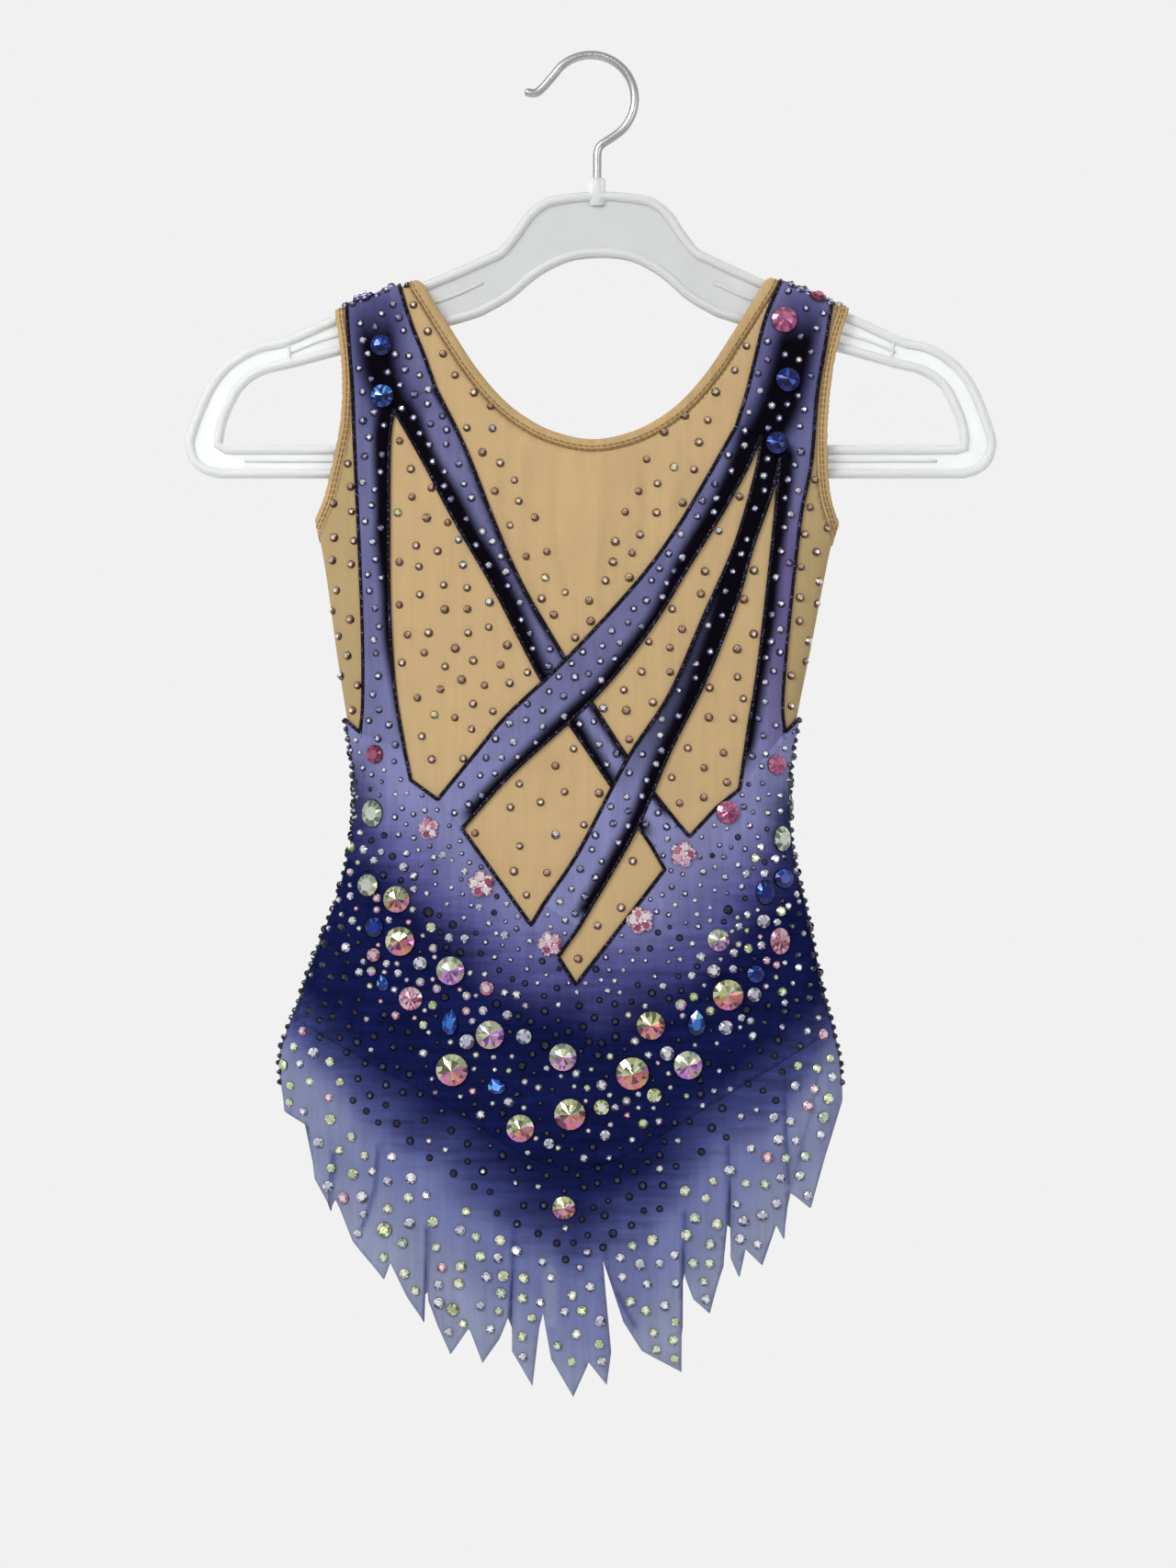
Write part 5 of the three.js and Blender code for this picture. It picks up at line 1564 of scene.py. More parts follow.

# %% [markdown]
# ## Colours of the facets
#
# Coated glass looks green and yellow on the facets that lean up and pink, orange or violet on
# those that lean down. A thin film in the shader can shift its hue too, but not from facet
# to facet, so a table gives each kind of stone its colours. The facets towards the lamp at the
# upper left are painted lighter as light and the lower ones darker as shade, the middle mostly
# gets a painted highlight, and the rim painted shade.

# %% Facet colours
# upper facets are painted lit, lower ones painted in shade, and the middle is mostly a painted highlight
FACET_COLOURS = {  # colours of the upper facets, of the lower facets, and of the middle
    "aurora": ([(0.66, 0.68, 0.34), (0.42, 0.52, 0.26), (0.84, 0.80, 0.56), (0.16, 0.18, 0.10)],
               [(0.66, 0.18, 0.24), (0.62, 0.32, 0.14), (0.62, 0.22, 0.52), (0.16, 0.05, 0.10)],
               [(0.90, 0.90, 0.80)]),
    "violet": ([(0.62, 0.66, 0.34), (0.78, 0.80, 0.62), (0.30, 0.34, 0.24), (0.52, 0.56, 0.60)],
               [(0.42, 0.16, 0.56), (0.66, 0.30, 0.62), (0.16, 0.07, 0.26), (0.50, 0.40, 0.30)],
               [(0.92, 0.88, 0.92)]),
    "rose": ([(0.66, 0.34, 0.44), (0.82, 0.58, 0.64), (0.36, 0.12, 0.20)],
             [(0.50, 0.16, 0.28), (0.78, 0.42, 0.52), (0.24, 0.06, 0.12)], [(0.92, 0.78, 0.82)]),
    "ruby": ([(0.42, 0.10, 0.22), (0.62, 0.22, 0.36)], [(0.26, 0.04, 0.12), (0.50, 0.12, 0.26)],
             [(0.60, 0.22, 0.38)]),
    "wine": ([(0.22, 0.015, 0.06), (0.42, 0.05, 0.14)], [(0.10, 0.01, 0.04), (0.34, 0.05, 0.12)],
             [(0.55, 0.16, 0.26)]),
    "lime": ([(0.66, 0.74, 0.38), (0.92, 0.94, 0.66), (0.30, 0.36, 0.14)],
             [(0.48, 0.54, 0.28), (0.16, 0.19, 0.08), (0.90, 0.90, 0.70)],
             [(1.0, 1.0, 0.86), (0.62, 0.70, 0.40)]),
    "clear": ([(0.72, 0.71, 0.80), (0.34, 0.33, 0.42), (1.0, 1.0, 1.0)],
              [(0.14, 0.13, 0.20), (0.60, 0.58, 0.68), (0.05, 0.045, 0.09)],
              [(1.0, 1.0, 1.0), (0.62, 0.60, 0.74)]),
    "lilac": ([(0.16, 0.15, 0.30), (0.62, 0.60, 0.84), (0.05, 0.045, 0.11)],
              [(0.02, 0.018, 0.05), (0.10, 0.09, 0.20)],
              [(1.0, 1.0, 1.0), (0.80, 0.78, 1.0), (0.30, 0.28, 0.46)]),
    "copper": ([(0.46, 0.29, 0.21), (0.34, 0.20, 0.14), (0.80, 0.60, 0.50)],
               [(0.09, 0.045, 0.03), (0.22, 0.12, 0.08)],
               [(1.0, 0.86, 0.80), (0.85, 0.68, 0.60), (0.46, 0.30, 0.24)]),
    "plum": ([(0.10, 0.08, 0.28), (0.26, 0.22, 0.52)], [(0.03, 0.02, 0.10), (0.08, 0.06, 0.22)],
             [(0.50, 0.45, 0.80)]),
    "petal": ([(1.0, 0.80, 0.86), (1.0, 0.93, 0.96), (0.62, 0.24, 0.34)],
              [(0.96, 0.60, 0.72), (0.40, 0.09, 0.18), (1.0, 0.84, 0.90)], [(1.0, 0.92, 0.94)]),
    "black": ([(0.008, 0.008, 0.03), (0.02, 0.02, 0.06)], [(0.002, 0.002, 0.008), (0.007, 0.007, 0.022)],
              [(0.012, 0.012, 0.04), (0.05, 0.05, 0.12)]),
    "cobalt": ([(0.002, 0.007, 0.10), (0.004, 0.020, 0.25), (0.001, 0.004, 0.05), (0.03, 0.12, 0.62)],
               [(0.002, 0.009, 0.12), (0.004, 0.024, 0.28), (0.001, 0.003, 0.04)],
               [(0.003, 0.015, 0.18), (0.008, 0.04, 0.36)]),
    "blue": ([(0.006, 0.035, 0.30), (0.02, 0.16, 0.66), (0.003, 0.012, 0.12), (0.25, 0.60, 0.90)],
             [(0.004, 0.02, 0.20), (0.012, 0.08, 0.40), (0.001, 0.004, 0.05)],
             [(0.01, 0.07, 0.42), (0.05, 0.26, 0.78)]),
    "mint": ([(0.46, 0.56, 0.40), (0.70, 0.76, 0.60), (0.20, 0.25, 0.18)],
             [(0.28, 0.34, 0.27), (0.60, 0.60, 0.46), (0.13, 0.16, 0.14)], [(0.80, 0.84, 0.74)]),
}
print("Kinds of stones:", len(FACET_COLOURS))

# %% Paint the facets
# the rim of each stone is painted dark, partly as its setting and partly as painted shade
RIM_SHADE, PETAL_RIM_SHADE = 0.16, 0.5  # the setting is nearly black, and a petal's is only darker


def facet_colours(kind, centres, corners, rng):
    """A colour for each facet from where its middle lies on the stone: painted light on the facets at the
    upper left, painted shade below and on the rim, and mostly a painted highlight in the middle.
    """
    upper_lit, lower_shaded, middle = FACET_COLOURS[kind]
    colours = []
    for (x, y), count in zip(centres, corners):
        # the middle facet mostly takes a painted highlight
        if x * x + y * y < 0.004:
            choice = rng.choice(middle)
        else:
            # facets towards the upper left, where the lamp is, take the painted lit colours
            choice = rng.choice(upper_lit if y - 0.35 * x > rng.uniform(-0.08, 0.08) else lower_shaded)
        rim = RIM_SHADE if kind != "petal" else PETAL_RIM_SHADE
        shade = rim if count == 4 else rng.uniform(0.8, 1.12)
        colours.append([c * shade for c in choice])
    return np.clip(colours, 0, 1)


print("A middle facet:", facet_colours("mint", [(0.0, 0.0)], [8], random.Random(1))[0].round(2))

# %% [markdown]
# ## Setting the stones
#
# A stone stands on the cloth with its axis square to it, and real ones are never quite
# straight. Geometry Nodes can scatter copies over a surface, but each stone here has its own
# place, size, cut and colours, so one function sets a list of stones and joins them.

# %% Set stones on the cloth
LEAN = 0.06  # how far a stone stands askew, so that no two sparkle alike


def stone(x, z, wide, cut, kind, **more):
    """One stone. More is its height, turn, level or rise, where they differ from the usual."""
    return {"x": x, "z": z, "wide": wide, "tall": wide, "cut": cut, "kind": kind, **more}


def stone_field(name, stones, side, material, level=1.35):
    """One mesh of many stones."""
    rng = random.Random(len(stones))
    spots = np.array([(one["x"], one["z"]) for one in stones])
    base = np.array([one.get("level", level) for one in stones])
    middle, out = on_cloth(side, spots, base)
    points, faces, colours, loops, start = [], [], [], [], 0
    for one, place, normal in zip(stones, middle, out):
        cut_points, cut_faces = CUTS[one["cut"]]
        normal = normal + np.array([rng.uniform(-LEAN, LEAN) for _ in range(3)])
        normal /= np.linalg.norm(normal)
        up = np.array((0.0, 0.0, 1.0)) - normal * normal[2]
        up /= max(np.linalg.norm(up), 1e-6)
        across = np.cross(up, normal)
        turn = one.get("turn", 0.0)
        c, s = math.cos(turn), math.sin(turn)
        flat = cut_points[:, :2] @ np.array([(c, s), (-s, c)])
        size = min(one["wide"], one["tall"])
        local = (flat[:, :1] * one["wide"] * across + flat[:, 1:] * one["tall"] * up
                 + cut_points[:, 2:] * size * one.get("rise", 1.0) * normal)
        points.append(place + local)
        centres = [flat[list(face)].mean(axis=0) for face in cut_faces]
        corners = [len(face) for face in cut_faces]
        colours.append(facet_colours(one["kind"], centres, corners, rng))
        loops += corners
        faces += [tuple(i + start for i in face) for face in cut_faces]
        start += len(cut_points)
    piece = mesh_object(name, np.vstack(points), faces, material, smooth=False)
    paint(piece, "facet", np.repeat(np.vstack(colours), loops, axis=0), "CORNER")
    print(f"{name}: {len(stones)} stones, {len(faces)} facets")


# %% [markdown]
# ## The large stones
#
# The large stones were sewn on one by one. They form a V like a necklace over the hips, with
# blue ones on the straps and pink flowers at the ends of the bands. A random scatter would
# lose that order, so each has a row with its place, size, cut and kind.

# %% Large stones
LARGE_STONES = [  # x, z, width, cut, kind, and the height where it differs
    (-89.5, -125, 9.5, "pointed", "cobalt"), (-89, -147, 10.3, "pointed", "blue"),
    (-97.5, -105, 11, "flower", "plum", 9), (82.5, -114, 11.4, "pointed", "ruby"),
    (97, -104.5, 8, "fine", "wine", 7), (84, -140, 10.7, "pointed", "cobalt"),
    (79.4, -167.2, 9.9, "pointed", "cobalt"), (-92, -301.5, 7.7, "fine", "wine", 8.5),
    (79, -306, 8.7, "pointed", "ruby"), (58, -326.5, 10.3, "pointed", "ruby"),
    (-93, -327, 9.9, "fine", "mint", 12.7), (81, -338, 8.7, "fine", "mint", 11.9),
    (-94.6, -358, 9.9, "fine", "mint", 10.4), (-69, -333.5, 9.1, "flower", "petal", 9.9),
    (-46.5, -357.5, 11.5, "flower", "petal"), (39, -344.5, 11.5, "flower", "petal"),
    (20.8, -373, 11.9, "flower", "petal"), (-17.5, -383, 11, "flower", "petal"),
    (-82.5, -364, 11.9, "pointed", "aurora"), (-81, -382, 13.1, "pointed", "aurora"),
    (-59.5, -394.5, 12.7, "pointed", "violet"), (-76.5, -406.5, 10.5, "pointed", "rose"),
    (-43, -422, 12.7, "pointed", "violet"), (-12, -431.5, 12.3, "pointed", "violet"),
    (-59, -437, 14.3, "pointed", "aurora"), (-9, -456, 13.9, "pointed", "aurora"),
    (-30, -462, 12.3, "pointed", "aurora"), (54, -381.5, 9.9, "pointed", "violet"),
    (80, -382, 9.1, "pointed", "rose", 11.9), (58, -405, 13.7, "pointed", "aurora"),
    (25.5, -418, 12.7, "pointed", "aurora"), (17.5, -438.5, 14.6, "pointed", "aurora"),
    (41, -435, 12.7, "pointed", "violet"), (74, -361, 8.8, "fine", "cobalt", 11.3),
    (44.5, -418, 8.3, "drop", "blue", 9.9), (-60, -417.5, 7.1, "drop", "blue", 10.3),
    (-11.5, -496, 10.3, "pointed", "aurora"), (85.5, -323.5, 5.5, "fine", "mint", 9.9),
    (-40, -444.5, 8.3, "drop", "blue", 6.3), (-88.5, -400.5, 5.5, "drop", "blue", 6.3),
    (81.7, -355.2, 9.5, "fine", "cobalt", 9), (70.2, -396.2, 8.2, "fine", "cobalt"),
    (-92, -376, 8.5, "fine", "cobalt", 9.5), (-92.3, -388, 6.3, "fine", "rose"),
    (-72.5, -391.5, 6.3, "fine", "clear"), (-44.3, -402, 6.7, "fine", "rose"),
    (-52.7, -425, 7.1, "fine", "clear"), (-28.5, -422.7, 7.1, "fine", "clear"),
    (73.2, -373.5, 6.3, "fine", "clear"), (51.8, -394.8, 6.3, "fine", "clear"),
    (69.7, -405, 6.7, "fine", "clear"), (57, -419, 6.7, "fine", "clear"),
    (32.3, -430, 6.7, "fine", "clear"), (26.9, -448, 6.7, "fine", "lime"),
    (4.4, -453, 7.1, "fine", "lime"), (4.4, -443.5, 4.8, "fine", "clear"),
    (-17.8, -468.5, 4.8, "fine", "clear"), (5.9, -465, 4.8, "fine", "clear"),
    (-87.9, -505.7, 6.7, "fine", "lime"), (-59, -539.8, 5.5, "fine", "lime"),
]
print("Large stones:", len(LARGE_STONES))

# %% Stones between the large ones
MIDDLE_STONES = {  # kind: x, z and width of the stones between the large ones
    "clear": [
        (78.4, -346.8, 4.2), (66.6, -353.1, 4.0), (73.8, -353.1, 4.0), (72.4, -341.6, 3.4),
        (87.5, -362, 3.2), (83.8, -367, 3.2), (79.0, -374.1, 3.6), (66.7, -370.7, 3.5),
        (63.3, -375.7, 3.5), (72.4, -383.9, 3.9), (60.8, -387.0, 3.9), (46.5, -388.7, 4.4),
        (60.3, -394.0, 3.7), (42.7, -396.8, 3.7), (88.3, -393.5, 3.2), (63.9, -414.9, 3.4),
        (82.3, -408.6, 3.0), (-97, -342.6, 4.0), (-92.2, -347.3, 3.6), (-53.5, -351.9, 3.3),
        (-63.1, -344.8, 3.4), (-102.6, -362.7, 3.6), (-85.9, -373, 3.2), (-101.5, -373.3, 3.8),
        (-60.1, -380.4, 4.0), (-53.5, -380.9, 4.0), (-104.1, -384.8, 4.4), (-86.9, -391.6, 3.4),
        (-98.5, -395.4, 3.8), (-82, -395.7, 3.6), (-45.9, -411.6, 4.0), (-35.6, -413.6, 4.4),
        (-36.6, -379.2, 3.8), (-47.4, -367.4, 3.0)],
    "lime": [
        (70.2, -346.2, 4.2), (80.6, -369.2, 4.6), (67.2, -385.1, 4.1), (-67.9, -376, 4.5),
        (-67.2, -409.3, 4.0), (-71.2, -417.9, 3.8)],
    "rose": [
        (74.6, -390.3, 3.5), (78.8, -392.3, 3.4), (-90.9, -363.5, 4.0), (-83.1, -413.8, 3.8),
        (-53, -411.8, 3.8)],
    "violet": [
        (38, -409.2, 5.2), (-66.9, -385, 4.0), (-72.5, -399.4, 4.0), (-65.4, -402.3, 4.0),
        (-52.8, -405.3, 4.0), (-93.3, -394.9, 4.2)],
}
print("Stones between them:", sum(len(row) for row in MIDDLE_STONES.values()))

# %% Set the large stones
turns = random.Random(11)
large = []
for x, z, wide, cut, kind, *tall in LARGE_STONES:
    most = 0.3 if cut != "drop" else 0.6
    large.append(stone(x, z, wide, cut, kind, tall=tall[0] if tall else wide, level=1.45,
                       turn=turns.uniform(-most, most)))
for kind, row in MIDDLE_STONES.items():
    large += [stone(x, z, wide, "fine", kind, turn=turns.uniform(0, 0.5)) for x, z, wide in row]
stone_field("large_stones", large, FRONT, cut_glass)

# %% [markdown]
# ## The small stones
#
# Hundreds of small stones are glued on by zone: coppery ones on the nude mesh, clear ones
# along the bands, black ones in the navy, and coated ones on the hem. A painted map could
# steer them, but the outlines and dye lines already say where each zone is.

# %% Zones of small stones
ZONES = {  # least distance, smallest and largest width, and shares of the kinds
    "nude": (8.7, 3.5, 4.2, {"copper": 0.90, "lime": 0.04, "clear": 0.06}),
    "window": (10.6, 3.5, 4.2, {"copper": 0.96, "clear": 0.04}),
    "band": (5.9, 3.2, 4.0, {"lilac": 0.82, "clear": 0.18}),
    "violet": (5.0, 2.2, 3.3, {"lilac": 0.52, "clear": 0.38, "black": 0.10}),
    "arc": (5.2, 2.4, 5.0, {"clear": 0.34, "violet": 0.14, "lime": 0.08, "rose": 0.06, "black": 0.38}),
    "navy": (5.7, 2.8, 4.1, {"black": 0.84, "lilac": 0.08, "clear": 0.08}),
    "fade": (6.8, 3.0, 4.1, {"black": 0.9, "clear": 0.1}),
    "hem": (7.3, 3.8, 5.4, {"lime": 0.46, "clear": 0.40, "rose": 0.04, "mint": 0.10}),
}
ARC_LINE = [(-100, -345), (-85, -375), (-60, -410), (-30, -440), (-5, -452), (25, -436), (50, -408),
            (75, -378), (88, -350)]
NEAR_BANDS = [curve(line) for line in (LEFT_STRAP_INNER + LEFT_CROSS_HIGH[1:], RIGHT_STRAP_INNER,
                                       RIGHT_CROSS_HIGH)]


def front_zones(points, rng):
    """The zone of each point of the front view, or an empty name where nothing is set."""
    zone = np.full(len(points), "", dtype="U8")
    x, z = points[:, 0], points[:, 1]
    bands = np.zeros(len(points), bool)
    for outline in BANDS:
        bands |= inside(points, outline)
    body = inside(points, joined(body_edge, [(140, -640), (-140, -640)])) & ~bands
    zone[body] = "violet"
    depth = height_on(NAVY_TOP, x) - z
    low = height_on(NAVY_LOW, x) - z
    zone[body & (depth > -2)] = "navy"
    zone[body & (depth > -14) & (away(points, ARC_LINE) < 24)] = "arc"
    zone[body & (low > -14)] = "fade"
    zone[body & (low > 8)] = ""
    hem = z - height_on(FRONT_HEM, x)
    tips = z < -446
    sides = (np.abs(x + 10) > 96) & (z < -405)
    reach = rng.uniform(34, 54, len(points))
    zone[body & (((hem < reach) & tips & (low > 10)) | (sides & (low > -2)))] = "hem"
    zone[bands] = "band"
    nude = ~bands & ~body
    for opening in tape_edges(FRONT):
        nude &= ~inside(points, opening)
    nude &= inside(points, above(YOKE_BOTTOM))
    near = away_from_all(points, NEAR_BANDS)
    between = joined(NEAR_BANDS[0], NEAR_BANDS[2][::-1][:20], [(62, -60), (-62, -60)])
    chest = (z > -262) & inside(points, between)
    room = 17 + 45 * smoothstep(-z, 222, 258)
    bare = chest & (near > room * rng.uniform(0.55, 1.1, len(points)))
    zone[nude & ~bare] = "nude"
    zone[nude & (z < -290)] = "window"
    return zone


def pick(shares, rng):
    return rng.choice(list(shares), p=np.array(list(shares.values())) / sum(shares.values()))


print("Zones:", list(ZONES))

# %% [markdown]
# ## Scattering them
#
# A grid would look machine-made, and plain chance leaves heaps and holes. Random places that
# keep a least distance from each other, and from the cords and the hem, look hand-set. The
# seed is fixed, so every run is alike.

# %% Scatter the small stones
CANDIDATES = 42000
rng = np.random.default_rng(2024)
tries = np.column_stack([rng.uniform(-137, 113, CANDIDATES), rng.uniform(-585, -98, CANDIDATES)])
zones = front_zones(tries, rng)
hem_clear = away(tries, FRONT_HEM)
cord_clear = away_from_all(tries, [run[::4] for run in cord_runs])
tries_plan = to_plan(tries)
tries_at = on_shell(FRONT, tries_plan, 1.0)
edge_room = PLAN_EDGE - np.abs(tries_plan[:, 0])
taken_at = on_shell(FRONT, to_plan([(one["x"], one["z"]) for one in large]), 1.0)
taken_room = np.array([max(one["wide"], one["tall"]) / 2 + 0.4 for one in large])
small = []
above_hem = inside(tries, above(FRONT_HEM))
CORD_ROOM, HEM_ROOM, EDGE_ROOM = 0.9, 0.6, 8
for i in np.flatnonzero(zones != ""):
    least, small_width, big_width, shares = ZONES[zones[i]]
    wide = small_width + (big_width - small_width) * rng.uniform() ** 1.6
    if cord_clear[i] < wide / 2 + CORD_ROOM or hem_clear[i] < wide / 2 + HEM_ROOM:
        continue
    if edge_room[i] < EDGE_ROOM or not above_hem[i]:
        continue
    gap = np.linalg.norm(taken_at - tries_at[i], axis=1)
    if (gap < taken_room + wide / 2).any() or (small and (gap[len(large):] < least).any()):
        continue
    taken_at = np.vstack([taken_at, tries_at[i]])
    taken_room = np.append(taken_room, wide / 2)
    level = 0.0 if zones[i] in ("nude", "window") else 1.3
    if zones[i] == "hem":
        level = 1.0
    cut = "fine" if zones[i] == "hem" else "flat"
    small.append(stone(tries[i, 0], tries[i, 1], wide, cut, pick(shares, rng),
                       turn=rng.uniform(0, 0.8), level=level, rise=1.5 if level == 0.0 else 1.2))
stone_field("small_stones", small, FRONT, bead_glass)

# %% [markdown]
# ## Stones along the edges
#
# Black stones run down both side seams, where they show as beads at the very edge, and a row
# of violet ones lies on each shoulder. The scatter leaves such narrow places out, so they
# are set in rows with a little chance in place and size.

# %% Stones along the side edges and on the shoulders
side_rng = np.random.default_rng(5)
edge_stones = []
for first, last in ((-105, -87), (86, 104)):
    for x in np.arange(first, last, 3.4):
        wide = side_rng.uniform(3.0, 4.2)
        z = arm_top(x) + side_rng.uniform(-0.2, 1.3)
        edge_stones.append(stone(x, z, wide, "flat", side_rng.choice(["plum", "lilac"])))
for sign in (-1, 1):
    for z in np.arange(-287, -446, -3.9):
        edge = at_height(LEFT if sign < 0 else RIGHT, np.array([z]))[0]
        middle = (at_height(LEFT, np.array([z]))[0] + at_height(RIGHT, np.array([z]))[0]) / 2
        x = middle + (edge - middle) * math.sin(math.radians(side_rng.uniform(84, 88)))
        wide = side_rng.uniform(2.9, 3.8)
        edge_stones.append(stone(x, z + side_rng.uniform(-0.6, 0.6), wide, "flat", "black",
                                 turn=side_rng.uniform(0, 1), rise=1.5))
stone_field("side_stones_front", edge_stones, FRONT, bead_glass)

# %% [markdown]
# ## Stones on the back
#
# The back isn't seen in the photograph. A dress like this has fewer stones there, so they
# lie in one even scatter, in the colours of the front's zones.

# %% Back stones
BACK_LEAST = 11  # the least distance between two of them
back_stones = []
tries = np.column_stack([side_rng.uniform(-125, 100, 3000), side_rng.uniform(-560, -300, 3000)])
ok = inside(tries, joined(curve(BACK_BODY_TOP), [(130, -640), (-140, -640)]))
ok &= inside(tries, above(BACK_HEM)) & (away(tries, BACK_HEM) > 4) & (away(tries, BACK_BODY_TOP) > 4)
chosen = []
for x, z in tries[ok]:
    if all((x - a) ** 2 + (z - b) ** 2 > BACK_LEAST ** 2 for a, b in chosen):
        chosen.append((x, z))
        kind = "black" if height_on(NAVY_LOW, x) < z else "lime"
        if height_on(NAVY_TOP, x) < z:
            kind = "clear"
        back_stones.append(stone(x, z, 3.6, "flat", kind, level=1.35 if z > -500 else 1.0))
stone_field("back_stones", back_stones, BACK, bead_glass)

# %% [markdown]
# ## The hook
#
# The hook is 4 mm wire bent into an arc with a small outward lip, and it stands in a collar on
# the hanger. It could be joined from a torus and a cylinder, but a smooth line through a few
# points, swept with a round section, has no joints.

# %% Hook
WIRE = 2.0
HOOK_RADIUS = 19.1


def hook_line():
    points = [(-28.6, -14), (-24.6, -14.6), (-21.6, -13)]
    for degrees in range(148, -61, -16):
        angle = math.radians(degrees)
        points.append((HOOK_RADIUS * math.cos(angle), WIRE - HOOK_RADIUS + HOOK_RADIUS * math.sin(angle)))
    points += [(4.6, -37), (3.0, -40), (2.8, -45), (2.8, -52), (2.8, -64)]
    return curve(points, 8)


line = hook_line()
radius = np.full(len(line), WIRE)
radius[:4] = WIRE * np.array((0.55, 0.85, 0.97, 1.0))
points, faces = upright_sweep(line, radius, radius, 20)
hook = mesh_object("wire_hook", points, faces, satin_wire)
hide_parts("hook")
print("Hook has", len(faces), "faces")

# %% [markdown]
# ## The hanger
#
# The hanger is moulded: a thin web with a thick rounded rim along every edge, and ribs in the
# bar and the arms. One block with bevels would lose that difference, so the web is a flat
# plate between the outline and the hole, and rims and ribs are ovals swept along lines.

# %% Outline of the hanger
HANGER_OUTLINE = [
    (4.5, -57.5), (19, -59.3), (26, -62), (32, -67.3), (37.3, -75), (43, -82), (48, -84.8),
    (74.2, -96.5), (111.5, -110.8), (134, -120.8), (145, -123.2), (153.5, -127.5), (161, -133.5),
    (167, -142), (171.5, -152), (175, -162), (175.8, -168), (173.5, -175), (168.5, -179.5),
    (161.5, -181.7)]
HANGER_HOLE = [
    (4.5, -86), (9, -86.6), (16, -88.5), (24, -92.6), (30.5, -97.4), (37, -103.2), (46.5, -109),
    (59, -114), (113.5, -129), (131, -133.8), (140.5, -136), (147, -139.2), (152, -144),
    (155.5, -150.5), (158.5, -158), (160, -167.4)]


def hanger_loop(table):
    """A closed outline from half widths, leaning a little to the right at its top."""
    half = np.array(table[1:], float)
    lean = HANGER_LEAN * (1 - half[:, 0] / HANGER_HALF)
    right = np.column_stack([half[:, 0] + lean, half[:, 1]])
    left = np.column_stack([-half[:, 0] + lean, half[:, 1]])[::-1]
    return joined(left, [table[0]], right)


outline = hanger_loop(HANGER_OUTLINE)
hole = hanger_loop(HANGER_HOLE)
outline = joined(curve(outline, 4), dense([outline[-1], outline[0]], 8, closed=False)[1:-1])
hole_curve = joined(curve(hole, 4), dense([hole[-1], hole[0]], 8, closed=False)[1:-1])
print("The hanger is", round(np.ptp(outline[:, 0]), 1), "mm wide")

# %% The web
WEB = 1.7  # half its thickness


def web_plate():
    made, faces = triangulated([dense(outline, 3), dense(hole_curve, 3)])
    middle = made[faces].mean(axis=1)
    faces = faces[inside(middle, outline) & ~inside(middle, hole_curve)]
    front = np.column_stack([made[:, 0], np.full(len(made), -WEB), made[:, 1]])
    back = front * (1, -1, 1)
    a, b, c = (front[faces[0]][k] for k in range(3))
    if np.cross(b - a, c - a)[1] > 0:
        faces = faces[:, ::-1]
    rim = outer_edges(faces)
    count = len(made)
    quads = [(b, a, a + count, b + count) for a, b in rim]
    return np.vstack([front, back]), faces.tolist() + (faces[:, ::-1] + count).tolist() + quads


web = web_plate()
print("The web has", len(web[1]), "faces")

# %% Rims, ribs and collar
RIM, RIM_DEEP = 2.1, 3.9
RIB, RIB_DEEP = 0.8, 2.7
ARM_RIB = [(50, -97), (60, -101.8), (90, -113.5), (120, -122.5), (131, -127.2)]
COLLAR_X, COLLAR_SIDES = 2.8, 24
COLLAR = [(3.2, -51.7), (3.9, -52.3), (3.9, -63), (3.4, -63.7)]  # radius and height


def rim_tube(loop, inset, wide=RIM, deep=RIM_DEEP, closed=True):
    return upright_sweep(beside(dense(loop, 2.5, closed=closed), inset), wide, deep, 12, closed)


def collar():
    n = COLLAR_SIDES
    turn = np.linspace(0, 2 * math.pi, n, endpoint=False)
    points = np.vstack([np.column_stack([COLLAR_X + r * np.cos(turn), r * np.sin(turn), np.full(n, z)])
                        for r, z in COLLAR])
    last = len(COLLAR) - 1
    faces = [(i * n + k, i * n + (k + 1) % n, (i + 1) * n + (k + 1) % n, (i + 1) * n + k)
             for i in range(last) for k in range(n)]
    return points, faces + [tuple(range(n)), tuple(last * n + k for k in range(n))[::-1]]


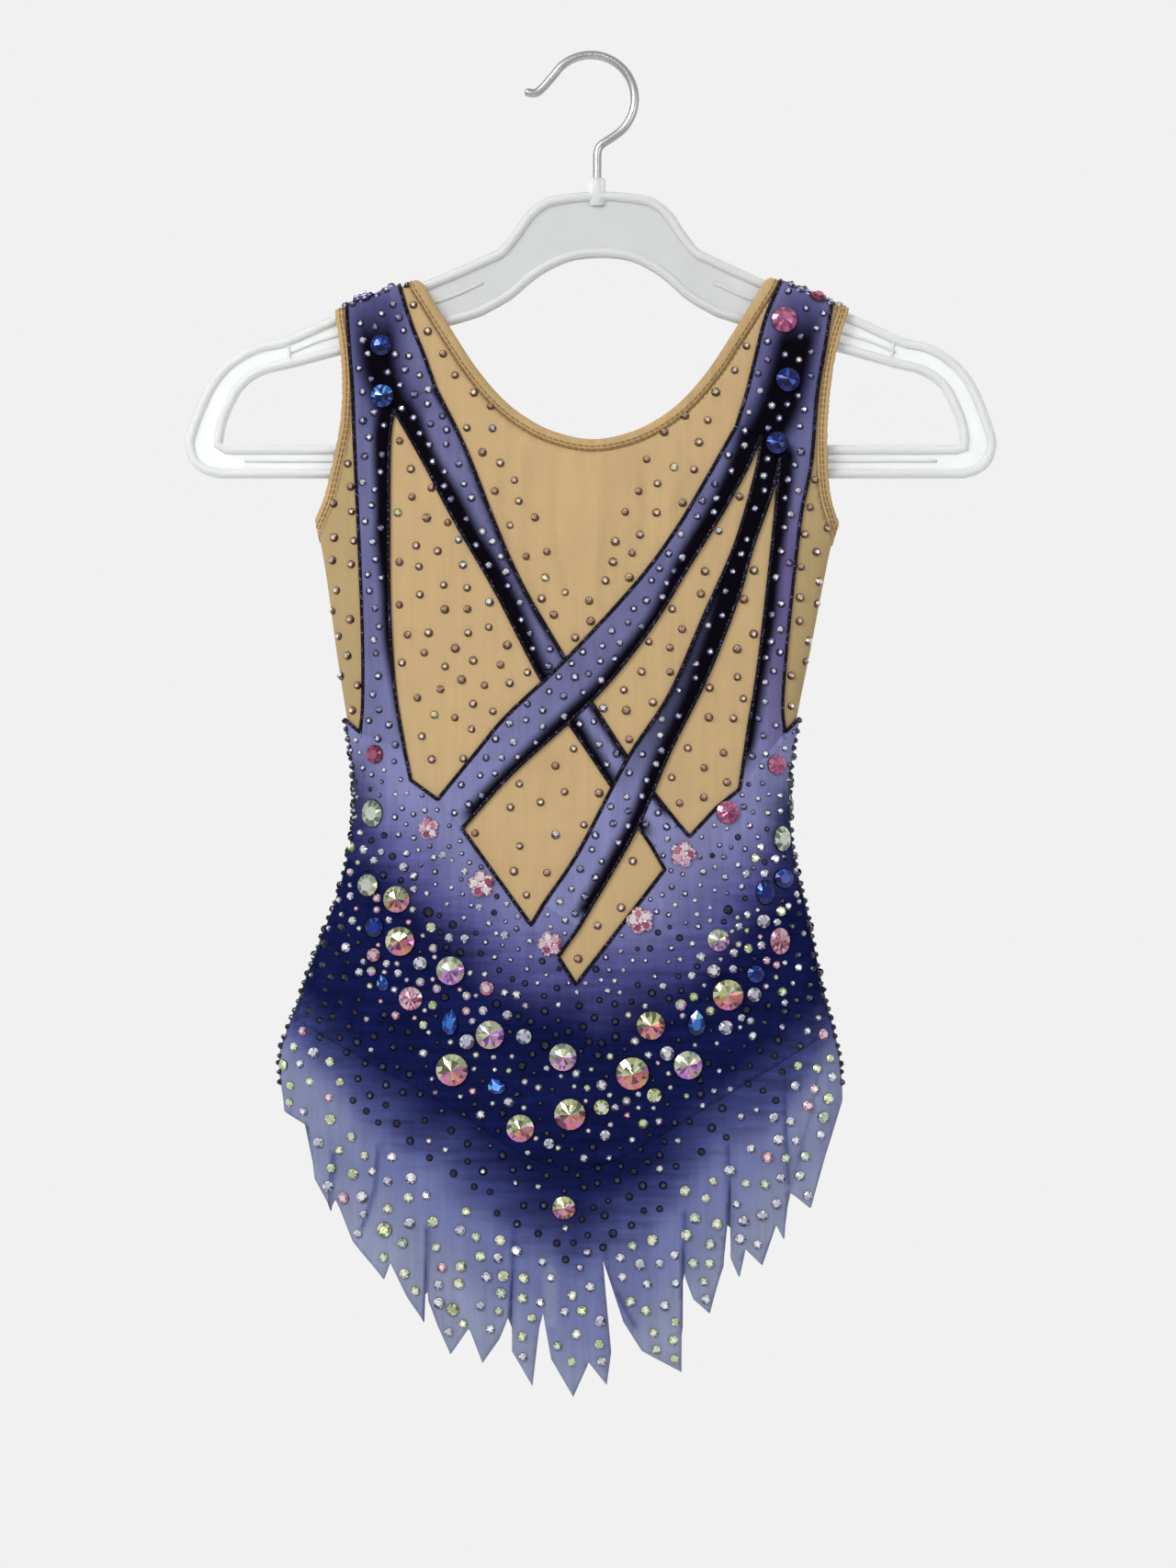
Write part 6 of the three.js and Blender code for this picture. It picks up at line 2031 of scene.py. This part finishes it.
area = 0.5 * np.sum(outline[:, 0] * np.roll(outline[:, 1], -1) - np.roll(outline[:, 0], -1) * outline[:, 1])
inward = 1 if area > 0 else -1
ribs = [[(-150, -174.3), (150, -174.3)]]
for sign in (-1, 1):
    arm = hanger_loop([(4.5, 0)] + ARM_RIB)
    ribs.append([point for point in arm if point[0] * sign > 20])
    ribs.append([(sign * 131.5, -121.5), (sign * 130, -132)])
parts = [web, rim_tube(outline, inward * RIM), rim_tube(hole_curve, -inward * RIM), collar()]
parts += [rim_tube(np.array(rib, float), 0, RIB, RIB_DEEP, closed=False) for rib in ribs]
print("Rims, ribs and collar:", len(parts) - 1)

# %% Join the hanger
points, faces = gather(parts)
hanger = mesh_object("clear_hanger", points, faces, web_plastic)
hanger.data.materials.append(rim_plastic)
is_rim = np.arange(len(faces)) >= len(web[1])
hanger.data.polygons.foreach_set("material_index", is_rim.astype(np.int32))
hanger.data.polygons.foreach_set("use_smooth", is_rim)
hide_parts("hanger")
print("Hanger has", len(faces), "faces")

# %% [markdown]
# ## The floor
#
# A pale round floor lies well below the hem, out of the camera's view. It throws soft light
# up under the skirt. A closed room would do that too, but it would hide the other sides.

# %% Floor
FLOOR_Z, FLOOR_RADIUS = -1.3, 1.5


def floor_material():
    material, tree, shader = new_material("pale_floor", {"Roughness": 0.8})
    tone = spread(tree, noise(tree, texture_place(tree), 0.01, 3), 0.74, 0.80)
    grey = add_node(tree, "ShaderNodeCombineColor", {"Red": tone, "Green": tone, "Blue": tone})
    tree.links.new(grey.outputs["Color"], shader.inputs["Base Color"])
    return material


turn = np.linspace(0, 2 * math.pi, 96, endpoint=False)
floor_mesh = bpy.data.meshes.new("floor")
floor_mesh.from_pydata([(FLOOR_RADIUS * math.cos(t), FLOOR_RADIUS * math.sin(t), FLOOR_Z) for t in turn],
                       [], [tuple(range(96))])
floor_mesh.materials.append(floor_material())
floor = bpy.data.objects.new("floor", floor_mesh)
bpy.context.scene.collection.objects.link(floor)
print("Floor at", FLOOR_Z, "m")
